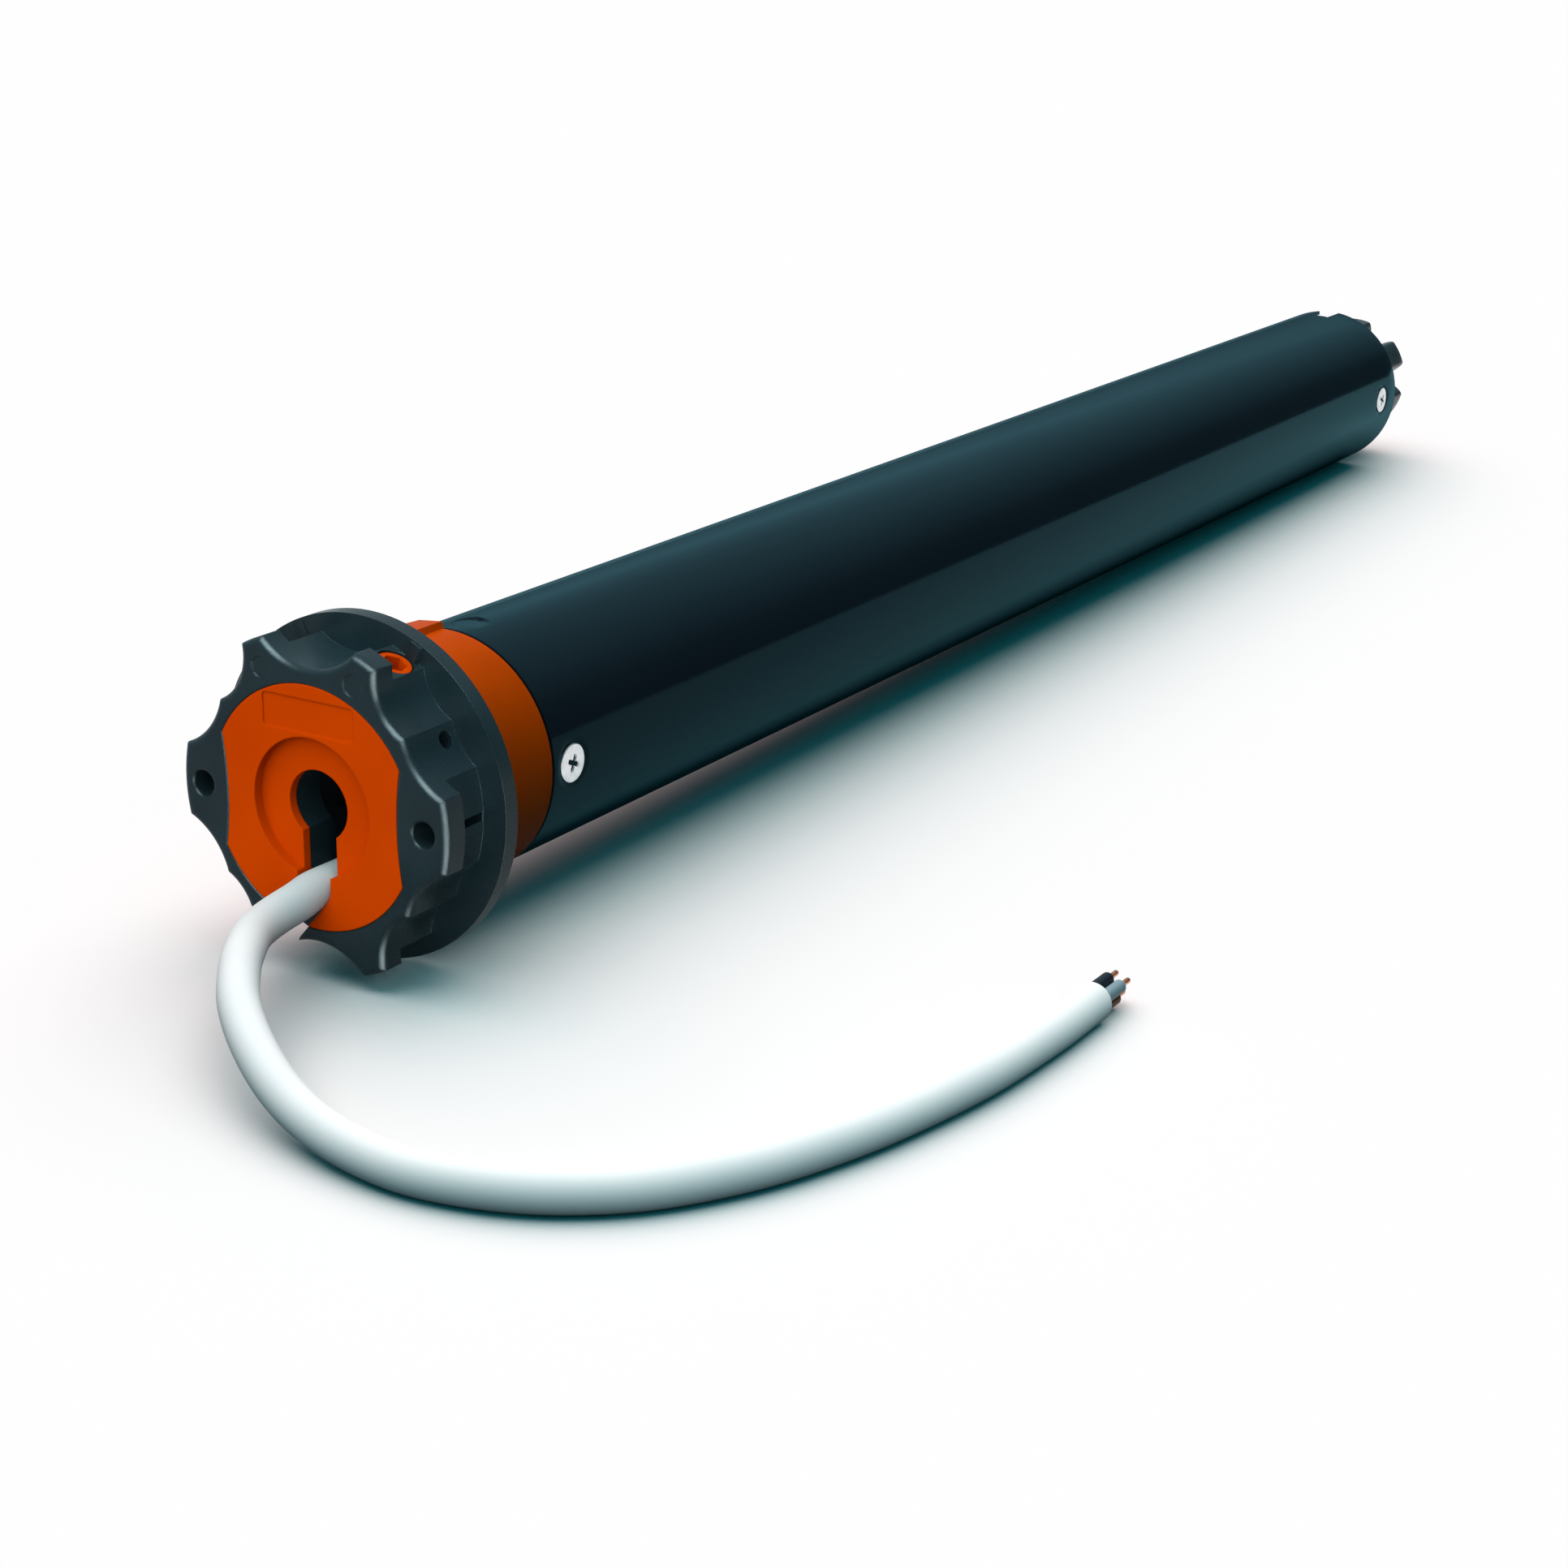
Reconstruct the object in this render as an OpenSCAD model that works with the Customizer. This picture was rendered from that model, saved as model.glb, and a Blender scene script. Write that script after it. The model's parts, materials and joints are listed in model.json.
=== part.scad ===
// Tubular roller blind motor: star head with a keyhole cover plate, crown ring,
// steel tube with limit switch unit, capacitor, motor, brake and planetary gearbox,
// and a lobed drive wheel. All sizes are in millimetres.
// X runs along the motor's axis from the head's mounting face to the drive wheel.
// Y is across the two fixing holes and Z is up, with the cable slot pointing down.

/* [Tube] */
// outside diameter of the steel tube
tube_d = 45; // [44.6:0.1:45.4]
// wall thickness of the steel tube
tube_wall = 1.0; // [0.9:0.05:1.1]
// distance from the mounting face to the tube's head end
tube_start = 38.94; // [38.9:0.02:39.1]
// distance from the mounting face to the tube's drive end
tube_end = 467; // [466.4:0.2:468]
// width of the index notch in the drive end
notch_w = 6; // [4:0.5:8]
// depth of the index notch in the drive end
notch_l = 9; // [6:0.5:10]

/* [Head] */
// distance between the two fixing holes
hole_pitch = 48; // [47.4:0.1:48.4]
// core radius of a fixing hole, cut for a 6 mm thread-forming screw
hole_r = 2.4; // [2.2:0.05:2.6]
// radius of the round flange behind the star
flange_r = 31.05; // [30.6:0.05:31.6]
// axial place of the flange's front face
flange_x = 13.3; // [13:0.1:13.6]
// thickness of the flange
flange_t = 3.3; // [3:0.1:3.6]
// end radius of the two side lobes that carry the fixing holes
side_lobe_r = 28.8; // [28.2:0.1:29.2]
// end radius of the upper and lower lobes
high_lobe_r = 30.3; // [29.8:0.1:30.8]
// angle of an upper lobe above the line through the fixing holes
lobe_angle = 66.3; // [65:0.1:67.5]
// axial depth of the raised lip on each lobe
lip_depth = 5; // [4.6:0.1:5.4]
// radius of the rounded front edge of the star
edge_round = 1.3; // [0.8:0.1:1.5]

/* [Cover plate] */
// radius of the cover plate in the mounting face
plate_r = 21.8; // [21.4:0.1:22]
// thickness of the cover plate
plate_t = 3.65; // [3.4:0.05:3.8]
// radius of the dished recess around the keyhole
dish_r = 12.5; // [12:0.1:13]
// depth of the dished recess
dish_depth = 1.95; // [1.5:0.05:2.1]
// radius of the keyhole's round opening
key_r = 6.3; // [6:0.05:6.5]
// width of the cable slot
slot_w = 7.3; // [7.2:0.05:7.5]

/* [Crown] */
// how far the crown ring stands out past the tube
crown_over = 0.1; // [0:0.05:0.3]
// height of the crown's drive lug above the ring
lug_h = 1.5; // [1:0.1:2]

/* [Limit screws] */
// radius of a limit-setting screw's round head
limit_head_r = 3.1; // [2.9:0.05:3.2]
// width across the flats of the hexagon socket
limit_hex = 4; // [3.5:0.5:4]

/* [Drive wheel] */
// length of the drive wheel
wheel_l = 21.6; // [20.6:0.2:22.6]
// outside radius of the drive wheel's lobes
wheel_r = 17.3; // [17:0.1:17.6]
// radius between the drive wheel's lobes
wheel_core_r = 13; // [12:0.5:14]

/* [Cable] */
// diameter of the cable
cable_d = 7; // [6.8:0.05:7.1]
// diameter of one insulated core
core_d = 2.4; // [2.2:0.05:2.4]
// length of the insulated cores past the jacket
core_l = 5.5; // [4:0.5:7]
// length of bare copper past each core
strand_l = 2.4; // [1.5:0.1:3]

/* [Hidden] */
$fn = 96;
eps = 0.5;
running = 0.05;
tube_r = tube_d / 2;
bore_r = tube_r - tube_wall;
crown_r = tube_r + crown_over;
lug_r = crown_r + lug_h;
flange_back = flange_x + flange_t;
plate_gap = 0.12;
plate_side_r = 61.6;
plate_side_at = 79.95;
scallop_y = 38;
scallop_r = 13.5;
upper_scallop = [24.35, 24.8, 10];
lower_scallop = [33, 19.1, 13.4];
ledge_drop = 2.5;
side_ledge_r = side_lobe_r - ledge_drop;
high_ledge_r = high_lobe_r - 2.6;
ledge_half = 6.4;
side_channel_depth = 8.6;
channel_turn = [0, -14.2];
channel_angle = -49;
channel_reach = 26;
plug_bore_r = 6.4;
neck_r = bore_r - 3.5;
neck_bore_r = neck_r - 2;
neck_back = 20;
neck_end = 50;
wall_x = 16.6;
screw_x = [44.8, tube_end - 10.9];
screw_head_r = 3.6;
screw_head_h = 2.1;
screw_r = 1.6;
screw_tip_r = neck_bore_r + 0.6;
screw_angles = [0, 180];
mark_angles = [90, 270];
mark_r = 3.2;
mark_depth = 0.4;
limit_x = 9.7;
limit_top = high_ledge_r - 0.3;
limit_shoulder = 22.4;
limit_stem_r = 1.9;
rib_angle = 65;
rod_at = bore_r - 9.5;
rod_r = 1.5;
mitre_n = 10;
mitre_out = 3.4;
mitre_in = 1.9;
gear_x = 31.6;
crown_front = flange_back + 0.4;
crown_back = tube_start - 0.3;
crown_bore = neck_r + 0.08;
lug_angle = 70;
lug_base_r = crown_r - 2.6;
crown_z = 60;
crown_m = 2 * (bore_r - 2.75) / crown_z;
pinion_z = 15;
spindle_at = (crown_z - pinion_z) / 2 * crown_m;
spindle_r = 2.1;
journal_r = 1.5;
frame_x0 = neck_end;
frame_x1 = 113.3;
frame_plate = 2.6;
nut_mid = frame_x0 + 32;
nut_l = 6;
board_x = 27;
board_t = 1.6;
lead_at = bore_r - 6.9;
lead_r = 0.9;
lead_angles = [-62, -81, -99, -118];
cap_x = [118, 178];
cap_r = bore_r - 9;
stator_x = [208, tube_end - 169];
winding_head = 9.5;
rotor_r = bore_r - 10.5;
air_gap = 0.35;
slot_end_r = bore_r - 3.1;
shaft_r = 4;
bearing_w = 7;
bearing_r = 11;
ball_at = 7.55;
ball_r = 1.8;
bearing_x = [188, tube_end - 156];
brake_x0 = tube_end - 145;
brake_face = brake_x0 + 16;
brake_gap = 0.4;
armature_t = 3.6;
disc_t = 3;
brake_end = brake_x0 + 26;
brake_coil_r = bore_r - 3.9;
box_x0 = brake_end;
box_x1 = tube_end - 49;
sun_z = 12;
planet_z = 21;
ring_z = 54;
gear_m = 2 * (bore_r - 2.6) / ring_z;
gear_add = 0.5;
gear_ded = 0.72;
gear_fill = 0.84;
planet_at = (sun_z + planet_z) / 2 * gear_m;
planet_pin_r = 1.5;
carrier_r = ring_z * gear_m / 2 - 1.3;
sun_seat_r = 2.5;
stage_sun = [[box_x0 + 5, box_x0 + 17], [box_x0 + 22, box_x0 + 36], [box_x0 + 42, box_x0 + 60]];
stage_planet = [for (s = stage_sun) [s[0] + 1, s[1] - 0.5]];
stage_plate = [for (k = [0 : 2]) [stage_sun[k][1], stage_sun[k][1] + [3.5, 4, 6][k]]];
output_r = 7;
bush_r = 9.5;
bush_x = [tube_end - 43, tube_end - 5];
cap_end = tube_end - 7.2;
wheel_start = tube_end + 1.4;
wheel_end = wheel_start + wheel_l;
square_w = 10;
wide_lobe = 4.6;
narrow_lobe = 3.3;
cable_r = cable_d / 2;
boot_r = 3.5;
boot_corner = [11.7, 0, -14.8];
cable_start = [10.1, 0, boot_corner[2]];
cable_end = [56.2, -120.7, -26.81];
cable_yaw = 1.7;
cable_pitch = 1.09;
cable_end_dir = [cos(cable_yaw) * cos(cable_pitch), -sin(cable_yaw) * cos(cable_pitch), sin(cable_pitch)];
cable_sides = 12;
cable_route = [
    cable_start,
    [7.2, 0, -14.8],
    [4.6, 0.15, -14.84],
    [2.2, 0.45, -14.98],
    [0, 0.95, -15.35],
    [-2.5, 1.6, -16.3],
    [-6.4, 2.9, -17.7],
    [-10.5, 2.8, -18.4],
    [-14.6, 1.4, -18.6],
    [-19.5, -1.5, -18.8],
    [-25.6, -5.7, -19.3],
    [-34, -13, -20.6],
    [-41, -21.9, -22.9],
    [-46.6, -31.8, -25.5],
    [-50.2, -41.5, -27.4],
    [-52.3, -52, -28.5],
    [-52.8, -62.9, -28.9],
    [-50.4, -74.9, -28.85],
    [-45.5, -85.4, -28.75],
    [-37.4, -95.2, -28.6],
    [-25, -104, -28.35],
    [-11.2, -110.2, -28.1],
    [3, -114.6, -27.83],
    [21, -118.4, -27.48],
    [40, -120.2, -27.12],
    cable_end - 4 * cable_end_dir,
    cable_end
];
black = [0.13, 0.15, 0.17];
orange = [0.80, 0.27, 0.03];
steel_blue = [0.12, 0.18, 0.22];
steel = [0.66, 0.67, 0.69];
copper = [0.72, 0.42, 0.28];
brass = [0.80, 0.66, 0.36];
cast_grey = [0.62, 0.63, 0.64];

// Placement helpers. A drawing in the Y and Z plane grows along X from x0.
module face_on(x0) {
    translate([x0, 0, 0]) rotate([90, 0, 90]) children();
}

module rod(x0, x1, r) {
    face_on(x0) cylinder(h = x1 - x0, r = r);
}

module ring(x0, x1, ro, ri) {
    difference() {
        rod(x0, x1, ro);
        rod(x0 - eps, x1 + eps, ri);
    }
}

module prism(x0, x1) {
    face_on(x0) linear_extrude(height = x1 - x0) children();
}

// Turns about the motor's axis, measured from +Y towards +Z.
module turned(a) {
    rotate([a, 0, 0]) children();
}

// A cylinder standing out from the axis at angle a, from radius r0 to r1.
module spoke(a, x, r0, r1, r) {
    translate([x, 0, 0]) turned(a) translate([0, r0, 0]) rotate([-90, 0, 0]) cylinder(h = r1 - r0, r = r);
}

module mirrored_y() {
    children();
    mirror([0, 1, 0]) children();
}

// Outline of a straight-flanked gear: four corners a tooth, one tooth centred on angle 0.
function on_circle(r, a) = [r * cos(a), r * sin(a)];
function half_tooth(z, m, r, fill) =
    90 / z * fill - atan(tan(20) * (r - z * m / 2) / (z * m / 2));
function gear_outline(z, m, root, tip, fill) = [
    for (k = [0 : z - 1])
        for (c = [[root, -1], [tip, -1], [tip, 1], [root, 1]])
            on_circle(c[0], k * 360 / z + c[1] * half_tooth(z, m, c[0], fill))
];

module gear(x0, x1, z, m, add, ded, fill) {
    prism(x0, x1) polygon(gear_outline(z, m, z * m / 2 - ded, z * m / 2 + add, fill));
}

// The space inside an internal gear, with a gap centred on angle 0.
module inner_gear_space(x0, x1, z, m, add, ded, fill) {
    prism(x0, x1) polygon(gear_outline(z, m, z * m / 2 - add, z * m / 2 + ded, 2 - fill));
}

// A mitre gear whose teeth lie on a 45 degree cone with its point at the origin, opening along +Z.
// A gap faces +X and a tooth faces +Y, so that two of them mesh at a right angle.
module mitre_gear() {
    cylinder_h = mitre_out - mitre_in;
    translate([0, 0, mitre_in]) cylinder(h = cylinder_h, r1 = mitre_in - 0.5, r2 = mitre_out - 0.5);
    for (k = [0 : mitre_n - 1])
        rotate([0, 0, (k + 0.5) * 360 / mitre_n])
            rotate([0, 45, 0])
                translate([-0.6, -0.24, mitre_in * sqrt(2) - 0.1])
                    cube([0.8, 0.48, cylinder_h * sqrt(2) + 0.1]);
}

// Star head.
module scallop_circles() {
    for (s = [-1, 1])
        translate([0, s * scallop_y]) circle(r = scallop_r);
    for (a = [0, 1], b = [0, 1])
        mirror([a, 0]) mirror([0, b])
            for (c = [upper_scallop, lower_scallop])
                translate([c[0], c[1]]) circle(r = c[2]);
}

// A disc whose front edge is rounded by edge_round.
module rounded_disc(r, depth) {
    face_on(0) rotate_extrude() difference() {
        square([r, depth]);
        difference() {
            translate([r - edge_round, -eps]) square([edge_round + eps, edge_round + eps]);
            translate([r - edge_round, edge_round]) circle(r = edge_round);
        }
    }
}

// A round cutter whose mouth flares so that the edge it leaves is rounded.
module scallop_cutter(c) {
    translate([0, c[0], c[1]]) face_on(-eps) rotate_extrude() difference() {
        square([c[2] + edge_round, flange_x + eps]);
        translate([c[2], edge_round + eps]) square([edge_round + eps, flange_x]);
        translate([c[2] + edge_round, edge_round + eps]) circle(r = edge_round);
    }
}

// The cable slot seen along X: straight down from the keyhole, then off to one side.
// Its inner edge turns on an arc, in steps of one tenth of the turn.
module channel_outline(extra) {
    half = slot_w / 2 + extra;
    run = [cos(channel_angle), sin(channel_angle)];
    across = half * [-run[1], run[0]];
    inner_arc = [for (k = [0 : 10]) channel_turn + on_circle(half, 180 + k / 10 * (90 + channel_angle))];
    outer_corner = channel_turn + across + (half - across[0]) / run[0] * run;
    polygon(concat(
        [[-half, 0], [half, 0], outer_corner],
        [channel_turn + across + channel_reach * run, channel_turn - across + channel_reach * run],
        [for (k = [10 : -1 : 0]) inner_arc[k]]
    ));
}

module plate_outline(extra) {
    difference() {
        circle(r = plate_r + extra);
        for (s = [-1, 1])
            translate([s * plate_side_at, 0]) circle(r = plate_side_r - extra);
    }
}

module star_ledge_outline() {
    difference() {
        union() {
            circle(r = side_ledge_r);
            for (s = [-1, 1], t = [-1, 1])
                mirror([s < 0 ? 1 : 0, 0]) mirror([0, t < 0 ? 1 : 0])
                    rotate(lobe_angle) translate([0, -ledge_half]) square([high_ledge_r, 2 * ledge_half]);
        }
        scallop_circles();
    }
}

module star_lip() {
    difference() {
        union() {
            rounded_disc(side_lobe_r, lip_depth);
            intersection() {
                rounded_disc(high_lobe_r, lip_depth);
                for (s = [-1, 1])
                    translate([-eps, -20, s > 0 ? 20 : -40]) cube([lip_depth + 2 * eps, 40, 20]);
            }
        }
        for (s = [-1, 1])
            scallop_cutter([0, s * scallop_y, scallop_r]);
        for (s = [-1, 1], t = [-1, 1], c = [upper_scallop, lower_scallop])
            scallop_cutter([s * c[0], t * c[1], c[2]]);
    }
}

module head_body() {
    color(black) difference() {
        union() {
            star_lip();
            prism(lip_depth, flange_x + eps) star_ledge_outline();
            rod(flange_x, flange_back, flange_r);
            rod(flange_back - eps, neck_end, neck_r);
            for (a = [rib_angle, 180 - rib_angle])
                translate([11.8, 0, 0]) turned(a) translate([0, flange_r - 7.05, -1.2]) cube([2, 6.65, 2.4]);
        }
        prism(-eps, plate_t) plate_outline(plate_gap);
        prism(-eps, boot_corner[0] + 3.8) boot_pocket_outline();
        prism(-eps, side_channel_depth) channel_outline(0.1);
        rod(-eps, neck_back + eps, plug_bore_r);
        rod(neck_back, neck_end + eps, neck_bore_r);
        for (s = [-1, 1]) {
            translate([0, s * hole_pitch / 2, 0]) rod(-eps, 13, hole_r);
            translate([0, s * 9.85, 23.3]) rod(-eps, 0.15, 1.95);
            translate([0, s * spindle_at, 0]) rod(17.4, neck_back + eps, journal_r + running);
            translate([0, s * spindle_at, 0]) rod(crown_back - 1, neck_end + eps, spindle_r + 0.4);
            translate([gear_x - 0.6, s * neck_r - 5.8, -5.8]) cube([crown_back - gear_x + 0.5, 11.6, 11.6]);
        }
        for (a = [lobe_angle, 180 - lobe_angle]) {
            spoke(a, limit_x, limit_shoulder, 31, limit_head_r + 0.3);
            spoke(a, limit_x, 15, limit_shoulder + eps, limit_stem_r + running);
            spoke(a, limit_x, 10, 17, 4.3);
            turned(a) translate([0, rod_at, 0]) rod(9.4, 14.6, 4.3);
            turned(a) translate([0, rod_at, 0]) rod(14, neck_back + eps, rod_r + running);
        }
        spoke(147.7, 10.4, 22, 30, 1.6);
        translate([lip_depth, -side_ledge_r - eps, -0.9]) cube([1, 2, 4.6]);
        for (a = screw_angles)
            spoke(a, screw_x[0], screw_tip_r - 1, tube_r, screw_r);
    }
}

// The deep part of the cable channel, straight below the plug, which holds the plug's boot.
module boot_pocket_outline() {
    depth = 4.1 - boot_corner[2];
    translate([-slot_w / 2 - 0.1, -depth]) square([slot_w + 0.2, depth]);
}

module cover_plate() {
    color(orange) difference() {
        prism(0, plate_t) plate_outline(0);
        rod(-eps, dish_depth, dish_r);
        rod(-eps, plate_t + eps, key_r);
        prism(-eps, plate_t + eps) channel_outline(0);
        prism(-eps, 0.2) translate([0, 16.2]) {
            square([18, 6], center = true);
            square([19.6, 4.4], center = true);
            for (s = [-1, 1], t = [-1, 1])
                translate([s * 9, t * 2.2]) circle(r = 0.8);
        }
    }
}

// Collar on the neck that carries the end of the tube.
module neck_collar() {
    color(black) difference() {
        ring(tube_start, neck_end, bore_r, neck_r);
        screw_holes(0);
    }
}

module screw_holes(i) {
    for (a = screw_angles) {
        spoke(a, screw_x[i], screw_tip_r - 1, tube_r + eps, screw_r);
        translate([screw_x[i], 0, 0]) turned(a) translate([0, tube_r - screw_head_h, 0]) rotate([-90, 0, 0])
            cylinder(h = screw_head_h, r1 = screw_r, r2 = screw_head_r);
    }
}

module motor_tube() {
    color(steel_blue) difference() {
        ring(tube_start, tube_end, tube_r, bore_r);
        screw_holes(0);
        screw_holes(1);
        for (a = mark_angles)
            spoke(a, screw_x[0], tube_r - mark_depth, tube_r + eps, mark_r);
        translate([tube_end - notch_l, -notch_w / 2, bore_r - 2]) cube([notch_l + eps, notch_w, 6]);
    }
}

// Four countersunk screws with a cross recess, flush with the tube: two at each end.
module tube_screws() {
    color(steel) for (x = screw_x, a = screw_angles)
        difference() {
            union() {
                spoke(a, x, screw_tip_r, tube_r - screw_head_h, screw_r);
                translate([x, 0, 0]) turned(a) translate([0, tube_r - screw_head_h, 0]) rotate([-90, 0, 0])
                    cylinder(h = screw_head_h, r1 = screw_r, r2 = screw_head_r);
            }
            translate([x, 0, 0]) turned(a) translate([0, tube_r - 1.3, 0]) {
                translate([-1.9, 0, -0.4]) cube([3.8, 3, 0.8]);
                translate([-0.4, 0, -1.9]) cube([0.8, 3, 3.8]);
            }
        }
}

// Right-angle boot: down from the plug, then out along the cable.
module boot() {
    difference() {
        union() {
            translate([boot_corner[0], 0, boot_corner[2]]) cylinder(h = -boot_corner[2] - 2, r = boot_r);
            translate(boot_corner) sphere(r = boot_r + 0.15);
            translate([0, 0, boot_corner[2]]) rod(cable_start[0], boot_corner[0], boot_r);
        }
        translate([cable_start[0] - 10, -5, boot_corner[2] - 6]) cube([10, 10, 6 + cable_r + 0.1]);
    }
}

// Supply cable with its plug.
module cable_plug() {
    color(black) {
        difference() {
            union() {
                rod(9.5, 19.6, plug_bore_r - 0.3);
                boot();
            }
            for (a = [45 : 90 : 315])
                turned(a) translate([0, 3.2, 0]) rod(14, 20, 0.8);
        }
    }
}

module inlet_socket() {
    color(brass) {
        for (a = [45 : 90 : 315])
            turned(a) translate([0, 3.2, 0]) rod(14.4, board_x, 0.8);
        difference() {
            rod(19.6, 24, plug_bore_r);
            for (a = [45 : 90 : 315])
                turned(a) translate([0, 3.2, 0]) rod(19, 25, 0.8);
        }
        ring(neck_back, 22.4, 9.6, plug_bore_r);
    }
}

function unit(v) = v / norm(v);
function heading(path, i) =
    i == 0 ? unit(path[1] - path[0])
    : i == len(path) - 1 ? unit(path[i] - path[i - 1])
    : unit(unit(path[i + 1] - path[i]) + unit(path[i] - path[i - 1]));
function cable_ring(path, i, r, sides) =
    let (t = heading(path, i), s = unit(cross(t, [0, 0, 1])), u = cross(s, t))
    [for (k = [0 : sides - 1]) path[i] + r * (cos(k * 360 / sides) * s + sin(k * 360 / sides) * u)];

module cable_jacket() {
    n = len(cable_route);
    m = cable_sides;
    points = [for (i = [0 : n - 1]) each cable_ring(cable_route, i, cable_r, m)];
    sides = [for (i = [0 : n - 2], k = [0 : m - 1])
        each [[i * m + k, i * m + (k + 1) % m, (i + 1) * m + (k + 1) % m],
              [i * m + k, (i + 1) * m + (k + 1) % m, (i + 1) * m + k]]];
    start_cap = [[for (k = [m - 1 : -1 : 0]) k]];
    end_cap = [[for (k = [0 : m - 1]) (n - 1) * m + k]];
    color("white") polyhedron(points = points, faces = concat(sides, start_cap, end_cap));
}

// The cable's cut end, drawn along X from the jacket's end face.
module at_cable_end() {
    translate(cable_end) rotate([0, 0, -cable_yaw]) rotate([0, -cable_pitch, 0]) children();
}

module core(a) {
    at_cable_end() turned(a) translate([0, core_d / sqrt(2) + 0.02, 0]) rod(0, core_l, core_d / 2);
}

module core_black() {
    color([0.1, 0.12, 0.15]) core(65);
}

module core_grey() {
    color([0.5, 0.61, 0.65]) core(155);
}

module core_brown() {
    color([0.42, 0.23, 0.05]) core(245);
}

module core_earth() {
    color([0.4, 0.6, 0.15]) core(335);
}

module core_strands() {
    color(copper) at_cable_end() for (a = [65 : 90 : 335])
        turned(a) translate([0, core_d / sqrt(2) + 0.02, 0]) {
            rod(core_l, core_l + strand_l - 0.5, 0.5);
            translate([core_l + strand_l - 0.5, 0, 0]) sphere(r = 0.5, $fn = 32);
        }
}

// Small circuit board that joins the inlet pins to the internal wires.
module terminal_board() {
    color([0.1, 0.35, 0.2]) prism(board_x, board_x + board_t) intersection() {
        circle(r = neck_bore_r);
        translate([-9.5, -neck_bore_r]) square([19, neck_bore_r + 5]);
    }
}

// Insulated wires from the terminal board to the motor winding.
module supply_leads() {
    color([0.35, 0.36, 0.4]) for (a = lead_angles)
        turned(a) translate([0, lead_at, 0]) rod(board_x + board_t, stator_x[0] - winding_head, lead_r);
}

module lead_holes(x0, x1) {
    for (a = lead_angles)
        turned(a) translate([0, lead_at, 0]) rod(x0 - eps, x1 + eps, lead_r + 0.02);
}

// Crown ring: turned by the blind's tube, it drives the limit switch unit.
module crown_ring() {
    color(orange) difference() {
        union() {
            rod(crown_front, crown_back - 0.4, crown_r);
            face_on(crown_back - 0.4) cylinder(h = 0.4, r1 = crown_r, r2 = crown_r - 0.35);
            prism(crown_front, crown_back) rotate(lug_angle) polygon([
                [lug_base_r, -2.4], [lug_r, -1.7], [lug_r, 1.7], [lug_r - 1.2, 6.6], [lug_base_r, 6.8]
            ]);
        }
        rod(crown_front - eps, gear_x, crown_bore);
        inner_gear_space(gear_x - eps, crown_back + eps, crown_z, crown_m, 0.45, 0.6, 0.86);
    }
}

// Limit-setting screws: radial, with a hexagon socket, turning an adjusting rod by a pair of mitre gears.
module limit_screw(a) {
    color(orange) translate([limit_x, 0, 0]) turned(a) translate([0, rod_at, 0]) rotate([-90, 0, 0]) {
        difference() {
            union() {
                translate([0, 0, limit_shoulder - rod_at])
                    cylinder(h = limit_top - limit_shoulder, r = limit_head_r);
                translate([0, 0, mitre_out])
                    cylinder(h = limit_shoulder - rod_at - mitre_out, r = limit_stem_r);
            }
            translate([0, 0, limit_top - rod_at - 3.5]) rotate([0, 0, 15])
                cylinder(h = 5, r = limit_hex / sqrt(3), $fn = 6);
        }
        mitre_gear();
    }
}

module limit_screw_a() {
    limit_screw(lobe_angle);
}

module limit_screw_b() {
    limit_screw(180 - lobe_angle);
}

module adjust_rod(a, x1) {
    color(steel) turned(a) translate([0, rod_at, 0]) {
        translate([limit_x, 0, 0]) rotate([0, 90, 0]) mitre_gear();
        rod(limit_x + mitre_out - 0.1, x1, rod_r);
    }
}

module adjust_rod_a() {
    adjust_rod(lobe_angle, frame_x1 - 1.3);
}

module adjust_rod_b() {
    adjust_rod(180 - lobe_angle, frame_x1 - 1.3);
}

// Limit spindles: a pinion in mesh with the crown and a long screw that carries a nut.
module limit_spindle() {
    color(steel) translate([0, spindle_at, 0]) {
        rod(17.6, gear_x + 0.4, journal_r);
        gear(gear_x + 0.4, crown_back - 1.2, pinion_z, crown_m, 0.45, 0.6, 0.86);
        rod(crown_back - 1.2, frame_x1 - frame_plate - 2, spindle_r);
        rod(frame_x1 - frame_plate - 2, frame_x1 - 0.8, journal_r);
    }
}

module limit_spindle_a() {
    limit_spindle();
}

module limit_spindle_b() {
    rotate([180, 0, 0]) limit_spindle();
}

module limit_nut() {
    color([0.85, 0.84, 0.78]) difference() {
        union() {
            translate([nut_mid - nut_l / 2, 7.6, -4]) cube([nut_l, 10.6, 8]);
            translate([nut_mid - nut_l / 2, 10, 3]) cube([nut_l, 3, 5]);
        }
        translate([0, spindle_at, 0]) rod(nut_mid - nut_l, nut_mid + nut_l, spindle_r + running);
        translate([nut_mid - nut_l, 7, -1.2]) cube([2 * nut_l, 2.6, 2.4]);
    }
}

module limit_nut_a() {
    limit_nut();
}

module limit_nut_b() {
    mirror([0, 1, 0]) limit_nut();
}

// A switch on its carriage. The button faces the nut on the same side.
module switch_carriage(x0, side) {
    rod_y = rod_at * cos(lobe_angle);
    rod_z = rod_at * sin(lobe_angle);
    color([0.16, 0.17, 0.2]) difference() {
        union() {
            translate([x0, 2, 8]) cube([6, 11.5, 5.6]);
            translate([x0 + (side > 0 ? -1 : 6), 10.8, 8.4]) cube([1, 1.6, 1.2]);
            translate([x0 + (side > 0 ? -1.2 : 6.2), 10.4, 5.6]) cube([1, 2.4, 5]);
            translate([x0 + (side > 0 ? -1.2 : 5), 10.4, 9.4]) cube([2.2, 2.4, 1.2]);
        }
        translate([0, rod_y, rod_z]) rod(x0 - eps, x0 + 7, rod_r + running);
    }
}

module switch_carriage_a() {
    switch_carriage(frame_x1 - 11.7, 1);
}

module switch_carriage_b() {
    mirror([0, 1, 0]) switch_carriage(frame_x0 + 6.4, -1);
}

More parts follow.
